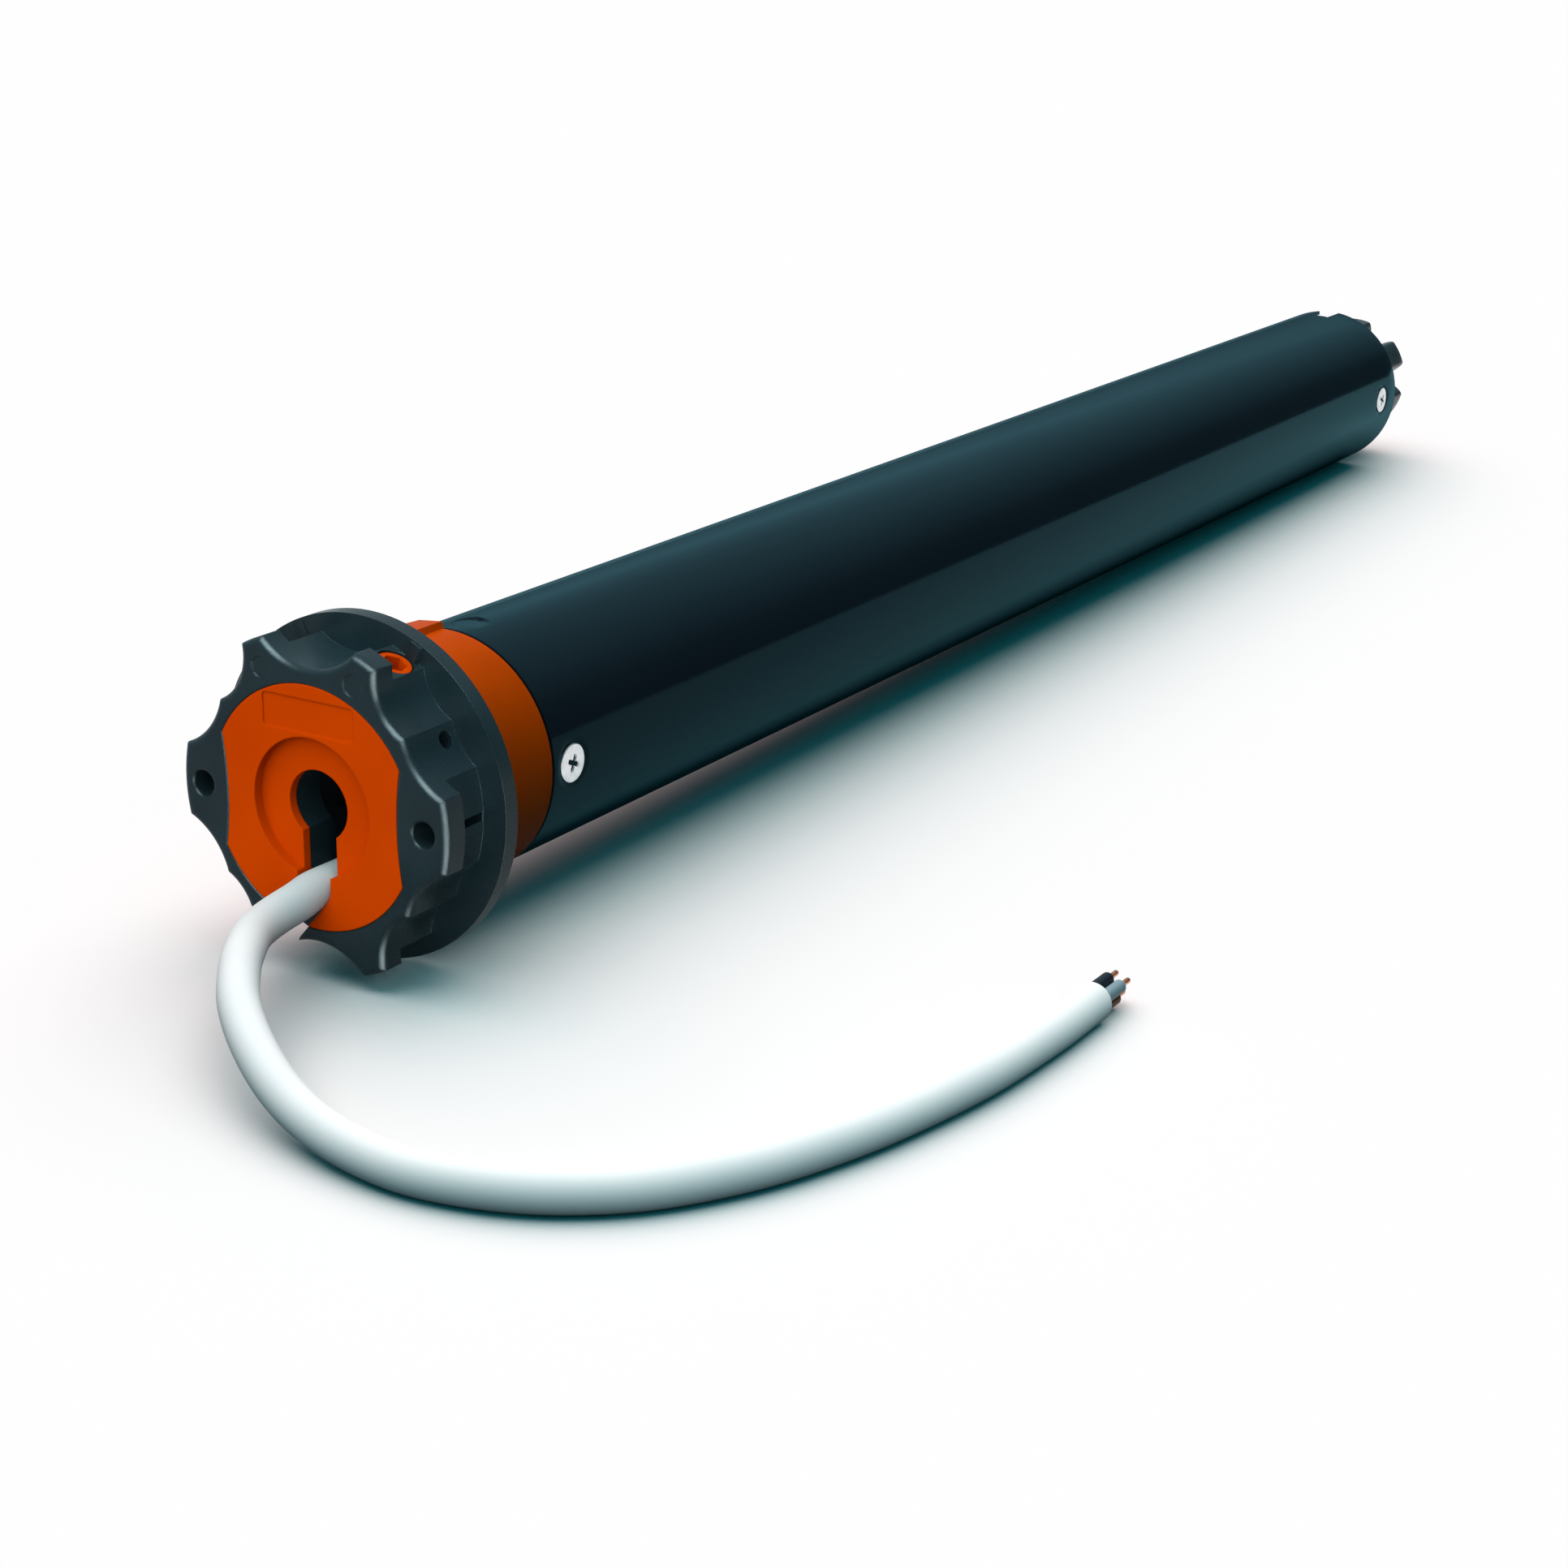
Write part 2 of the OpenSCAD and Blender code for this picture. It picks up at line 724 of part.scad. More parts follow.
// Frame of the limit switch unit: two end plates, three bars and two guide rails.
module limit_frame() {
    color([0.2, 0.22, 0.24]) difference() {
        union() {
            rod(frame_x0, frame_x0 + frame_plate, bore_r);
            rod(frame_x1 - frame_plate, frame_x1, bore_r);
            for (a = [-35, 90, 215])
                turned(a) translate([frame_x0, bore_r - 4.1, -2.5]) cube([frame_x1 - frame_x0, 3.6, 5]);
            mirrored_y() translate([frame_x0, 7.3, -1]) cube([frame_x1 - frame_x0, 2.1, 2]);
        }
        for (s = [-1, 1]) {
            translate([0, s * spindle_at, 0]) {
                rod(frame_x0 - eps, frame_x0 + frame_plate + eps, spindle_r + 0.4);
                rod(frame_x1 - frame_plate - eps, frame_x1 - 0.4, journal_r + running);
            }
        }
        for (a = [lobe_angle, 180 - lobe_angle])
            turned(a) translate([0, rod_at, 0]) {
                rod(frame_x0 - eps, frame_x0 + frame_plate + eps, rod_r + 0.4);
                rod(frame_x1 - frame_plate - eps, frame_x1 - 0.8, rod_r + running);
            }
        lead_holes(frame_x0, frame_x1);
    }
}

// Motor run capacitor and the cradle that holds it in the tube.
module capacitor() {
    color([0.85, 0.86, 0.88]) {
        rod(cap_x[0], cap_x[1] - 1, cap_r);
        rod(cap_x[1] - 1, cap_x[1], cap_r - 1.2);
        for (s = [-1, 1])
            translate([cap_x[1], s * 4 - 0.4, -2]) cube([3, 0.8, 4]);
    }
}

module capacitor_cradle() {
    color([0.2, 0.22, 0.24]) difference() {
        union() {
            ring(cap_x[0], cap_x[0] + 5, bore_r, cap_r);
            ring(cap_x[1] - 8, cap_x[1] - 3, bore_r, cap_r);
            for (a = [0, 90, 180])
                turned(a) translate([cap_x[0], cap_r + 0.6, -3]) cube([cap_x[1] - cap_x[0] - 3, 4, 6]);
        }
        lead_holes(cap_x[0], cap_x[1]);
    }
}

// Motor: two end shields, stator, winding, ball bearings and rotor.
module end_shield_front() {
    color(cast_grey) difference() {
        union() {
            rod(bearing_x[0] - 4, bearing_x[0], bore_r);
            rod(bearing_x[0] - eps, bearing_x[0] + bearing_w, bearing_r + 1.8);
            ring(bearing_x[0] - eps, stator_x[0], bore_r, bore_r - 1.8);
        }
        rod(bearing_x[0], stator_x[0], bearing_r);
        rod(bearing_x[0] - 5, bearing_x[0] + eps, shaft_r + 1);
        lead_holes(bearing_x[0] - 4, bearing_x[0]);
    }
}

module end_shield_rear() {
    color(cast_grey) difference() {
        union() {
            rod(bearing_x[1] + bearing_w, brake_x0, bore_r);
            rod(bearing_x[1], bearing_x[1] + bearing_w + eps, bearing_r + 1.8);
            ring(stator_x[1], bearing_x[1] + bearing_w + eps, bore_r, bore_r - 1.8);
        }
        rod(stator_x[1], bearing_x[1] + bearing_w, bearing_r);
        rod(bearing_x[1], brake_x0 + eps, shaft_r + 1);
    }
}

module slot_bars(r0, r1, w) {
    for (k = [0 : 11])
        rotate(k * 30) translate([r0, -w / 2]) square([r1 - r0, w]);
}

module stator_core() {
    color([0.42, 0.43, 0.45]) prism(stator_x[0], stator_x[1]) difference() {
        circle(r = bore_r);
        circle(r = rotor_r + air_gap);
        slot_bars(rotor_r + 1.4, slot_end_r, 3);
        slot_bars(rotor_r, rotor_r + 2, 1.2);
    }
}

module stator_winding() {
    color(copper) {
        prism(stator_x[0], stator_x[1]) slot_bars(rotor_r + 1.6, slot_end_r, 3);
        for (e = [[stator_x[0] - winding_head, stator_x[0]], [stator_x[1], stator_x[1] + winding_head]])
            ring(e[0], e[1], slot_end_r + 0.6, rotor_r + 1.6);
    }
}

module bearing_outers() {
    color(steel) for (x = bearing_x) {
        ring(x, x + bearing_w, bearing_r, ball_at + ball_r - 0.05);
        for (k = [0 : 6])
            turned(k * 360 / 7) translate([x + bearing_w / 2, ball_at, 0]) sphere(r = ball_r, $fn = 48);
    }
}

module rotor_shaft() {
    color(steel) {
        rod(bearing_x[0] - 2, box_x0 + 2, shaft_r);
        rod(box_x0 + 2, stage_sun[0][1], sun_seat_r);
        for (x = bearing_x)
            ring(x, x + bearing_w, ball_at - ball_r - 0.3, shaft_r);
    }
}

module rotor_core() {
    color([0.55, 0.56, 0.58]) {
        ring(stator_x[0], stator_x[1], rotor_r, shaft_r);
        ring(stator_x[0] - 4, stator_x[0], rotor_r - 0.4, rotor_r - 4);
        ring(stator_x[1], stator_x[1] + 4, rotor_r - 0.4, rotor_r - 4);
        for (e = [stator_x[0] - 8, stator_x[1] + 4], k = [0 : 7])
            turned(k * 45) translate([e, rotor_r - 3.6, -0.5]) cube([4, 2.6, 1]);
    }
}

module sun_gear() {
    color(steel) difference() {
        gear(stage_sun[0][0], stage_sun[0][1], sun_z, gear_m, gear_add, gear_ded, gear_fill);
        rod(stage_sun[0][0] - eps, stage_sun[0][1] + eps, sun_seat_r);
    }
}

// Spring-applied brake: the coil pulls the armature off the friction disc.
module brake_housing() {
    color(cast_grey) difference() {
        rod(brake_x0, brake_face, bore_r);
        rod(brake_x0 - eps, brake_face + eps, shaft_r + 1);
        ring(brake_x0 + 4, brake_face + eps, brake_coil_r, 10);
        rod(brake_face - 3, brake_face + eps, 8.6);
    }
}

module brake_coil() {
    color(copper) ring(brake_x0 + 4, brake_face - 0.6, brake_coil_r, 10);
}

// Two cone-shaped spring washers, back to back.
module brake_spring() {
    color(steel) for (s = [0, 1])
        face_on(brake_face - 3) rotate_extrude()
            polygon(s == 0
                ? [[5.6, 0], [6, 0], [8.4, 1.1], [8.4, 1.5], [8, 1.5]]
                : [[8, 1.5], [8.4, 1.5], [6, 2.95], [5.6, 2.95], [5.6, 2.55]]);
}

module brake_armature() {
    color(steel) ring(brake_face + brake_gap, brake_face + brake_gap + armature_t, bore_r - 1.1, 5.4);
}

module friction_disc() {
    x0 = brake_face + brake_gap + armature_t;
    color([0.3, 0.27, 0.22]) ring(x0, x0 + disc_t, bore_r - 1.5, shaft_r);
}

module brake_back_plate() {
    color(cast_grey) {
        ring(brake_end - 3, brake_end, bore_r, shaft_r + 1);
        ring(brake_face, brake_end - 3, bore_r, bore_r - 0.8);
    }
}

// Planetary gearbox with three stages in one toothed housing.
module gear_housing() {
    color([0.25, 0.26, 0.28]) difference() {
        rod(box_x0, box_x1, bore_r);
        inner_gear_space(box_x0 + 3, stage_sun[2][1] - 0.3, ring_z, gear_m, gear_add, gear_ded, gear_fill);
        rod(box_x0 - eps, box_x0 + 3 + eps, shaft_r + 1);
        rod(stage_sun[2][1] - 0.6, box_x1 + eps, carrier_r + 1.2);
    }
}

module planet(s, a) {
    color([0.78, 0.77, 0.72]) turned(a) translate([0, planet_at, 0]) difference() {
        gear(stage_planet[s][0], stage_planet[s][1], planet_z, gear_m, gear_add, gear_ded, gear_fill);
        rod(stage_planet[s][0] - eps, stage_planet[s][1] + eps, planet_pin_r + running);
    }
}

module planet_1a() {
    planet(0, 0);
}

module planet_1b() {
    planet(0, 120);
}

module planet_1c() {
    planet(0, 240);
}

module planet_2a() {
    planet(1, 0);
}

module planet_2b() {
    planet(1, 120);
}

module planet_2c() {
    planet(1, 240);
}

module planet_3a() {
    planet(2, 0);
}

module planet_3b() {
    planet(2, 120);
}

module planet_3c() {
    planet(2, 240);
}

// A carrier plate with its three planet pins.
module carrier_plate(s) {
    rod(stage_plate[s][0] + 0.4, stage_plate[s][1], carrier_r);
    for (a = [0, 120, 240])
        turned(a) translate([0, planet_at, 0])
            rod(stage_planet[s][0] - 0.4, stage_plate[s][0] + 1, planet_pin_r);
}

module carrier_with_sun(s) {
    color(steel) union() {
        carrier_plate(s);
        rod(stage_plate[s][1] - eps, stage_sun[s + 1][0], 3);
        gear(stage_sun[s + 1][0], stage_sun[s + 1][1] - 0.3, sun_z, gear_m, gear_add, gear_ded, gear_fill);
    }
}

module carrier_1() {
    carrier_with_sun(0);
}

module carrier_2() {
    carrier_with_sun(1);
}

// Last carrier with the output shaft: round in its bush, square in the drive wheel.
module output_shaft() {
    color(steel) difference() {
        union() {
            carrier_plate(2);
            rod(stage_plate[2][1] - eps, wheel_start - 0.6, output_r);
            translate([wheel_start - 0.6 - eps, -square_w / 2, -square_w / 2])
                cube([wheel_end - wheel_start + 0.6 + eps, square_w, square_w]);
        }
        rod(wheel_end - 14, wheel_end + eps, 2);
    }
}

module output_housing() {
    color(cast_grey) difference() {
        union() {
            rod(box_x1, cap_end, bore_r);
            rod(box_x1, tube_end - 0.6, bush_r + 3);
        }
        rod(box_x1 - eps, tube_end, output_r + 0.6);
        rod(bush_x[0], bush_x[1], bush_r);
        screw_holes(1);
        for (a = [45 : 90 : 315])
            turned(a) translate([0, bore_r - 4.7, 0]) rod(box_x1 + 5, tube_end, 2.4);
    }
}

module output_bush() {
    color(brass) ring(bush_x[0], bush_x[1], bush_r, output_r + running);
}

// One lobe of the drive wheel, with the half width w at its tip.
module lobe(w) {
    prism(wheel_start - eps, wheel_end + eps)
        polygon([[wheel_core_r - 2, -w - 2], [wheel_r + 1, -w], [wheel_r + 1, w], [wheel_core_r - 2, w + 2]]);
}

// Drive wheel with three wide and three narrow lobes.
module drive_wheel() {
    color(black) difference() {
        union() {
            rod(wheel_start, wheel_end, wheel_core_r);
            for (k = [0 : 5])
                intersection() {
                    rod(wheel_start, wheel_end, wheel_r);
                    turned(90 + k * 60) lobe(k % 2 == 0 ? wide_lobe : narrow_lobe);
                }
        }
        translate([wheel_start - eps, -square_w / 2, -square_w / 2])
            cube([wheel_end - wheel_start + 2 * eps, square_w, square_w]);
        ring(wheel_start + 3, wheel_end + eps, wheel_core_r - 1.4, 8.6);
    }
}

module drive_screw() {
    color(steel) difference() {
        union() {
            rod(wheel_end - 12, wheel_end, 2);
            rod(wheel_end, wheel_end + 1.2, 7.6);
            rod(wheel_end + 1.2, wheel_end + 3.4, 4);
        }
        translate([wheel_end + 1.9, -3, -0.5]) cube([3, 6, 1]);
        translate([wheel_end + 1.9, -0.5, -3]) cube([3, 1, 6]);
    }
}

head_body();
cover_plate();
neck_collar();
motor_tube();
tube_screws();
cable_plug();
inlet_socket();
cable_jacket();
core_black();
core_grey();
core_brown();
core_earth();
core_strands();
terminal_board();
supply_leads();
crown_ring();
limit_screw_a();
limit_screw_b();
adjust_rod_a();
adjust_rod_b();
limit_spindle_a();
limit_spindle_b();
limit_nut_a();
limit_nut_b();
switch_carriage_a();
switch_carriage_b();
limit_frame();
capacitor();
capacitor_cradle();
end_shield_front();
end_shield_rear();
stator_core();
stator_winding();
bearing_outers();
rotor_shaft();
rotor_core();
sun_gear();
friction_disc();
brake_housing();
brake_coil();
brake_spring();
brake_armature();
brake_back_plate();
gear_housing();
planet_1a();
planet_1b();
planet_1c();
carrier_1();
planet_2a();
planet_2b();
planet_2c();
carrier_2();
planet_3a();
planet_3b();
planet_3c();
output_shaft();
output_housing();
output_bush();
drive_wheel();
drive_screw();
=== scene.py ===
# %% [markdown]
# # A tubular roller blind motor
# The motor lies on a white table: a black star-shaped head with an orange cover, a long coated steel
# tube, a lobed drive wheel at the far end and a short white cable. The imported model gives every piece
# at its real size. This script gives each one its finish, and remakes the few whose form is softer
# than a plain solid: the cable, its wires, the tube, the screw heads and the drive wheel.

# %% Load the frame
import json
import math

import bmesh
import bpy
import numpy as np
from mathutils import Matrix, Vector


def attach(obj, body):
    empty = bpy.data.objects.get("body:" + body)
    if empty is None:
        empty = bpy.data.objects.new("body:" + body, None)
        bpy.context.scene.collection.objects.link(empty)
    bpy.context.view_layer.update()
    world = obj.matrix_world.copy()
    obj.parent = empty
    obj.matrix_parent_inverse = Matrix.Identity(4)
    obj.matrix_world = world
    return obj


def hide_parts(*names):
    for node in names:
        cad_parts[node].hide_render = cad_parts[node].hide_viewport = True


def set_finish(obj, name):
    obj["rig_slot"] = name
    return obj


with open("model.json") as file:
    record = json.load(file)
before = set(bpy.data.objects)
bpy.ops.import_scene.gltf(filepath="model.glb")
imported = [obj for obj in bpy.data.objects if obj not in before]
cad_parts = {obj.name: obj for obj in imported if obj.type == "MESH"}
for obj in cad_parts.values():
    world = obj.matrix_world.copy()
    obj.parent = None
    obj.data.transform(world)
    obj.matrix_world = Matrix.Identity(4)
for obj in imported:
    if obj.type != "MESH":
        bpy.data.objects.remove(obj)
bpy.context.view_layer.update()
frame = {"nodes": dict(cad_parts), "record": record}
MM = 0.001

# %% [markdown]
# ## The camera
# A camera is fixed by where it stands, which way it looks and its focal length. These were solved from
# the circles of the head, the two fixing holes and the straight sides of the tube. The columns of the
# camera's matrix are its right, its up and its backward direction.

# %% Place the camera
CAMERA_PLACE = (-346.95, -302.35, 159.74)
CAMERA_RIGHT = (0.52064, -0.85363, 0.01577)
CAMERA_DOWN = (-0.26681, -0.18022, -0.94675)
CAMERA_FORWARD = (0.81102, 0.4887, -0.32159)
SENSOR_WIDTH = 36.0
FOCAL_LENGTH = 65.24

camera_data = bpy.data.cameras.new("camera")
camera_data.sensor_width = SENSOR_WIDTH
camera_data.lens = FOCAL_LENGTH
camera_data.clip_start = 0.01
camera_data.clip_end = 60.0
camera = bpy.data.objects.new("camera", camera_data)
axes = np.array([CAMERA_RIGHT, np.negative(CAMERA_DOWN), np.negative(CAMERA_FORWARD)]).T
placed = np.eye(4)
placed[:3, :3] = axes
placed[:3, 3] = np.array(CAMERA_PLACE) * MM
camera.matrix_world = Matrix(placed.tolist())
bpy.context.scene.collection.objects.link(camera)
bpy.context.scene.camera = camera
print("camera stands", round(float(np.linalg.norm(CAMERA_PLACE)), 1), "mm from the mounting face")

# %% [markdown]
# ## Meshes from arrays
# Most new pieces are grids: a function of two parameters gives a block of points, rows by columns, and
# the faces join each point to its neighbours. A grid that wraps both ways is a ring, and one that wraps
# one way is an open tube, whose ends are then closed.


# %% Helpers for meshes
MERGE_WITHIN = 1e-7


def grid_faces(rows, columns, wrap_rows=False, wrap_columns=True):
    """Four corners for each cell of a grid of rows times columns points, numbered row by row."""
    i = np.arange(rows if wrap_rows else rows - 1)
    j = np.arange(columns if wrap_columns else columns - 1)
    i, j = np.meshgrid(i, j, indexing="ij")
    i2, j2 = (i + 1) % rows, (j + 1) % columns
    corners = [i * columns + j, i * columns + j2, i2 * columns + j2, i2 * columns + j]
    return np.stack(corners, axis=-1).reshape(-1, 4)


def closed_tube(points):
    """Faces of a grid whose rows are rings, with a flat cap over the first ring and the last."""
    rows, columns = points.shape[:2]
    faces = grid_faces(rows, columns).tolist()
    faces.append(list(range(columns)))
    faces.append([(rows - 1) * columns + k for k in range(columns)])
    return faces


def add_piece(name, points, faces, body, slot, smooth=35.0):
    """A closed mesh from points in millimetres, its faces turned outwards and its creases kept sharp."""
    mesh = bpy.data.meshes.new(name)
    faces = faces if isinstance(faces, list) else faces.tolist()
    mesh.from_pydata((np.reshape(points, (-1, 3)) * MM).tolist(), [], faces)
    work = bmesh.new()
    work.from_mesh(mesh)
    bmesh.ops.remove_doubles(work, verts=work.verts, dist=MERGE_WITHIN)
    bmesh.ops.dissolve_degenerate(work, edges=work.edges, dist=MERGE_WITHIN)
    bmesh.ops.recalc_face_normals(work, faces=work.faces)
    work.to_mesh(mesh)
    work.free()
    mesh.shade_smooth()
    mesh.set_sharp_from_angle(angle=math.radians(smooth))
    piece = bpy.data.objects.new(name, mesh)
    bpy.context.scene.collection.objects.link(piece)
    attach(piece, body)
    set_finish(piece, slot)
    return piece


def joined(blocks):
    """Several (points, faces) blocks as one, with each block's face numbers moved past the last one's."""
    points, faces, start = [], [], 0
    for block, block_faces in blocks:
        block = np.reshape(block, (-1, 3))
        points.append(block)
        faces += [[start + k for k in face] for face in block_faces]
        start += len(block)
    return np.concatenate(points), faces


def eased(t):
    """A smooth step: t is held between 0 and 1, and the result is 3 t squared minus 2 t cubed."""
    t = np.clip(t, 0, 1)
    return t * t * (3 - 2 * t)


print("a ring of 4 rows by 6 columns has", len(grid_faces(4, 6, wrap_rows=True)), "faces")

# %% [markdown]
# ## The cable's route
# The cable leaves the plug's right-angle boot deep in the head, comes out through the slot, turns aside
# and lies in one wide curve on the table. The route is a handful of points. A Catmull-Rom curve passes
# through each of them and leaves it in the direction of its neighbours, so the cable has no kinks.

# %% Lay the cable's centre line
CABLE_D = 7.0
CABLE_START = np.array([10.1, 0.0, -14.8])
CABLE_END = np.array([56.2, -120.7, -26.81])
CABLE_YAW = 1.7
CABLE_PITCH = 1.09
yaw, pitch = math.radians(CABLE_YAW), math.radians(CABLE_PITCH)
end_way = np.array([math.cos(yaw) * math.cos(pitch), -math.sin(yaw) * math.cos(pitch), math.sin(pitch)])
ROUTE = np.array([
    CABLE_START,
    (7.2, 0, -14.8), (4.6, 0.15, -14.84), (2.2, 0.45, -14.98), (0, 0.95, -15.35),
    (-2.5, 1.6, -16.3), (-6.4, 2.9, -17.7), (-10.5, 2.8, -18.4),
    (-14.6, 1.4, -18.6), (-19.5, -1.5, -18.8), (-25.6, -5.7, -19.3), (-34, -13, -20.6),
    (-41, -21.9, -22.9), (-46.6, -31.8, -25.5), (-50.2, -41.5, -27.4), (-52.3, -52, -28.5),
    (-52.8, -62.9, -28.9), (-50.4, -74.9, -28.85), (-45.5, -85.4, -28.75), (-37.4, -95.2, -28.6),
    (-25, -104, -28.35), (-11.2, -110.2, -28.1), (3, -114.6, -27.83), (21, -118.4, -27.48),
    (40, -120.2, -27.12),
    CABLE_END - 4 * end_way,
    CABLE_END,
])


def catmull_rom(points, steps):
    """Each stretch from b to c is a cubic whose slopes are (c - a) / 2 at b and (d - b) / 2 at c."""
    first, last = 2 * points[0] - points[1], 2 * points[-1] - points[-2]
    p = np.vstack([first, points, last])
    a, b, c, d = p[:-3], p[1:-2], p[2:-1], p[3:]
    t = np.arange(steps)[:, None, None] / steps
    square, cube = 2 * a - 5 * b + 4 * c - d, 3 * b - a - 3 * c + d
    line = 0.5 * (2 * b + (c - a) * t + square * t**2 + cube * t**3)
    return np.vstack([line.transpose(1, 0, 2).reshape(-1, 3), points[-1:]])


cable_line = catmull_rom(ROUTE, 12)

# %% [markdown]
# ## A round section carried along a path
# At each point of the path a ring stands square to the path's direction. The ring's two axes are the
# sideways direction, level with the table, and the one square to both. Rings may change their radius
# along the way, which rounds the cut end of the cable.


# %% Sweep a ring along a path
def swept(path, radii, sides):
    """Point = path + r (cos a * sideways + sin a * upwards), for every ring and every angle a."""
    way = np.gradient(path, axis=0)
    way /= np.linalg.norm(way, axis=1)[:, None]
    sideways = np.cross(way, (0, 0, 1))
    sideways /= np.linalg.norm(sideways, axis=1)[:, None]
    upwards = np.cross(sideways, way)
    a = np.linspace(0, 2 * np.pi, sides, endpoint=False)[None, :, None]
    spokes = np.cos(a) * sideways[:, None] + np.sin(a) * upwards[:, None]
    return path[:, None] + np.asarray(radii)[:, None, None] * spokes


def rounded_end(path, radius, edge):
    """The path and radii of a rod whose last edge is a quarter circle of radius edge, in five steps."""
    way = path[-1] - path[-2]
    way /= np.linalg.norm(way)
    a = np.linspace(0, np.pi / 2, 6)
    ends = path[-1] - edge * way + (edge * np.sin(a))[:, None] * way
    keep = np.linalg.norm(path - path[-1], axis=1) > 1.5 * edge
    body = path[keep]
    return np.vstack([body, ends]), np.r_[np.full(len(body), radius), radius - edge + edge * np.cos(a)]


path, radii = rounded_end(cable_line, CABLE_D / 2, 0.35)
rings = swept(path, radii, 48)
cable = add_piece("cable_sheath", rings, closed_tube(rings), "housing", "white_pvc")
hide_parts("cable_jacket")
print("cable sheath:", len(path), "rings")

# %% [markdown]
# ## Four wires at the cut end
# The sheath is cut square and four insulated wires stick out, each with a little bare copper at its
# end. Each is a straight rod with a rounded end, set beside the cable's centre at its own angle.

# %% Make the wires and their copper
CORE_D = 2.4
CORE_LENGTH = 6.6
STRAND_LENGTH = 3.2
STRAND_D = 1.0
CORE_AT = CORE_D / math.sqrt(2) + 0.02
end_side = np.array([math.sin(yaw), math.cos(yaw), 0.0])
end_up = np.cross(end_way, end_side)


def beside_end(angle, forward):
    """Points forward of the cable's cut face, on the centre line of the wire at this angle."""
    a = math.radians(angle)
    centre = CABLE_END + CORE_AT * (math.cos(a) * end_side + math.sin(a) * end_up)
    return centre + np.multiply.outer(forward, end_way)


WIRES = {"black": 65, "grey": 155, "brown": 245, "earth": 335}
insulation, strands = [], []
for colour, angle in WIRES.items():
    path, radii = rounded_end(beside_end(angle, np.linspace(-1.0, CORE_LENGTH, 14)), CORE_D / 2, 0.3)
    rings = swept(path, radii, 32)
    piece = add_piece("wire_" + colour, rings, closed_tube(rings), "housing", colour + "_insulation")
    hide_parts("core_" + colour)
    insulation.append(piece)
    along = np.linspace(CORE_LENGTH - 0.4, CORE_LENGTH + STRAND_LENGTH, 8)
    path, radii = rounded_end(beside_end(angle, along), STRAND_D / 2, 0.45)
    rings = swept(path, radii, 24)
    strands.append((rings, closed_tube(rings)))
copper_ends = add_piece("copper_ends", *joined(strands), "housing", "copper")
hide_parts("core_strands")
print("wires:", len(insulation), "bare ends:", len(strands))

# %% [markdown]
# ## Colours and shader nodes
# Colours are written as they look on a screen and turned to the linear numbers that light is computed
# in. Every material here is a small network, and one helper adds each of its nodes.


# %% Helpers for materials
def linear(code):
    """A screen colour such as "d95a10" as linear light: ((c + 0.055) / 1.055) to the power 2.4."""
    c = np.array([int(code[k:k + 2], 16) for k in (0, 2, 4)]) / 255
    return (*np.where(c <= 0.04045, c / 12.92, ((c + 0.055) / 1.055) ** 2.4).tolist(), 1.0)


def add_node(tree, kind, inputs=(), **settings):
    """A new shader node with its settings, whose inputs are given as values or as other nodes' outputs."""
    made = tree.nodes.new("ShaderNode" + kind)
    for key, value in settings.items():
        setattr(made, key, value)
    for key, value in dict(inputs).items():
        if isinstance(value, bpy.types.NodeSocket):
            tree.links.new(value, made.inputs[key])
        else:
            made.inputs[key].default_value = value
    return made


def new_tree(name):
    """A new material with an empty node tree."""
    material = bpy.data.materials.new(name)
    material.use_nodes = True
    material.node_tree.nodes.clear()
    return material, material.node_tree


def per_mm(size):
    """A texture's scale for a pattern this many millimetres wide, as Object coordinates are in metres."""
    return 1.0 / (size * MM)


print("an orange as linear light:", np.round(linear("c04000"), 3).tolist())

# %% [markdown]
# ## A finish made of two noises
# Nearly every surface here is one colour to the eye, yet never quite flat. A broad noise drifts between
# two close shades, as flow marks and handling do. A fine noise is the grain: it lifts the surface a few
# hundredths of a millimetre and varies its gloss. A Bevel node softens the light on sharp edges, as
# a mould or a deburring brush does. The star head is rounded wide at its front only, so the width may
# change along X.


# %% The general finish
EDGE_BEYOND = 0.1
BEVEL_RAYS = 4


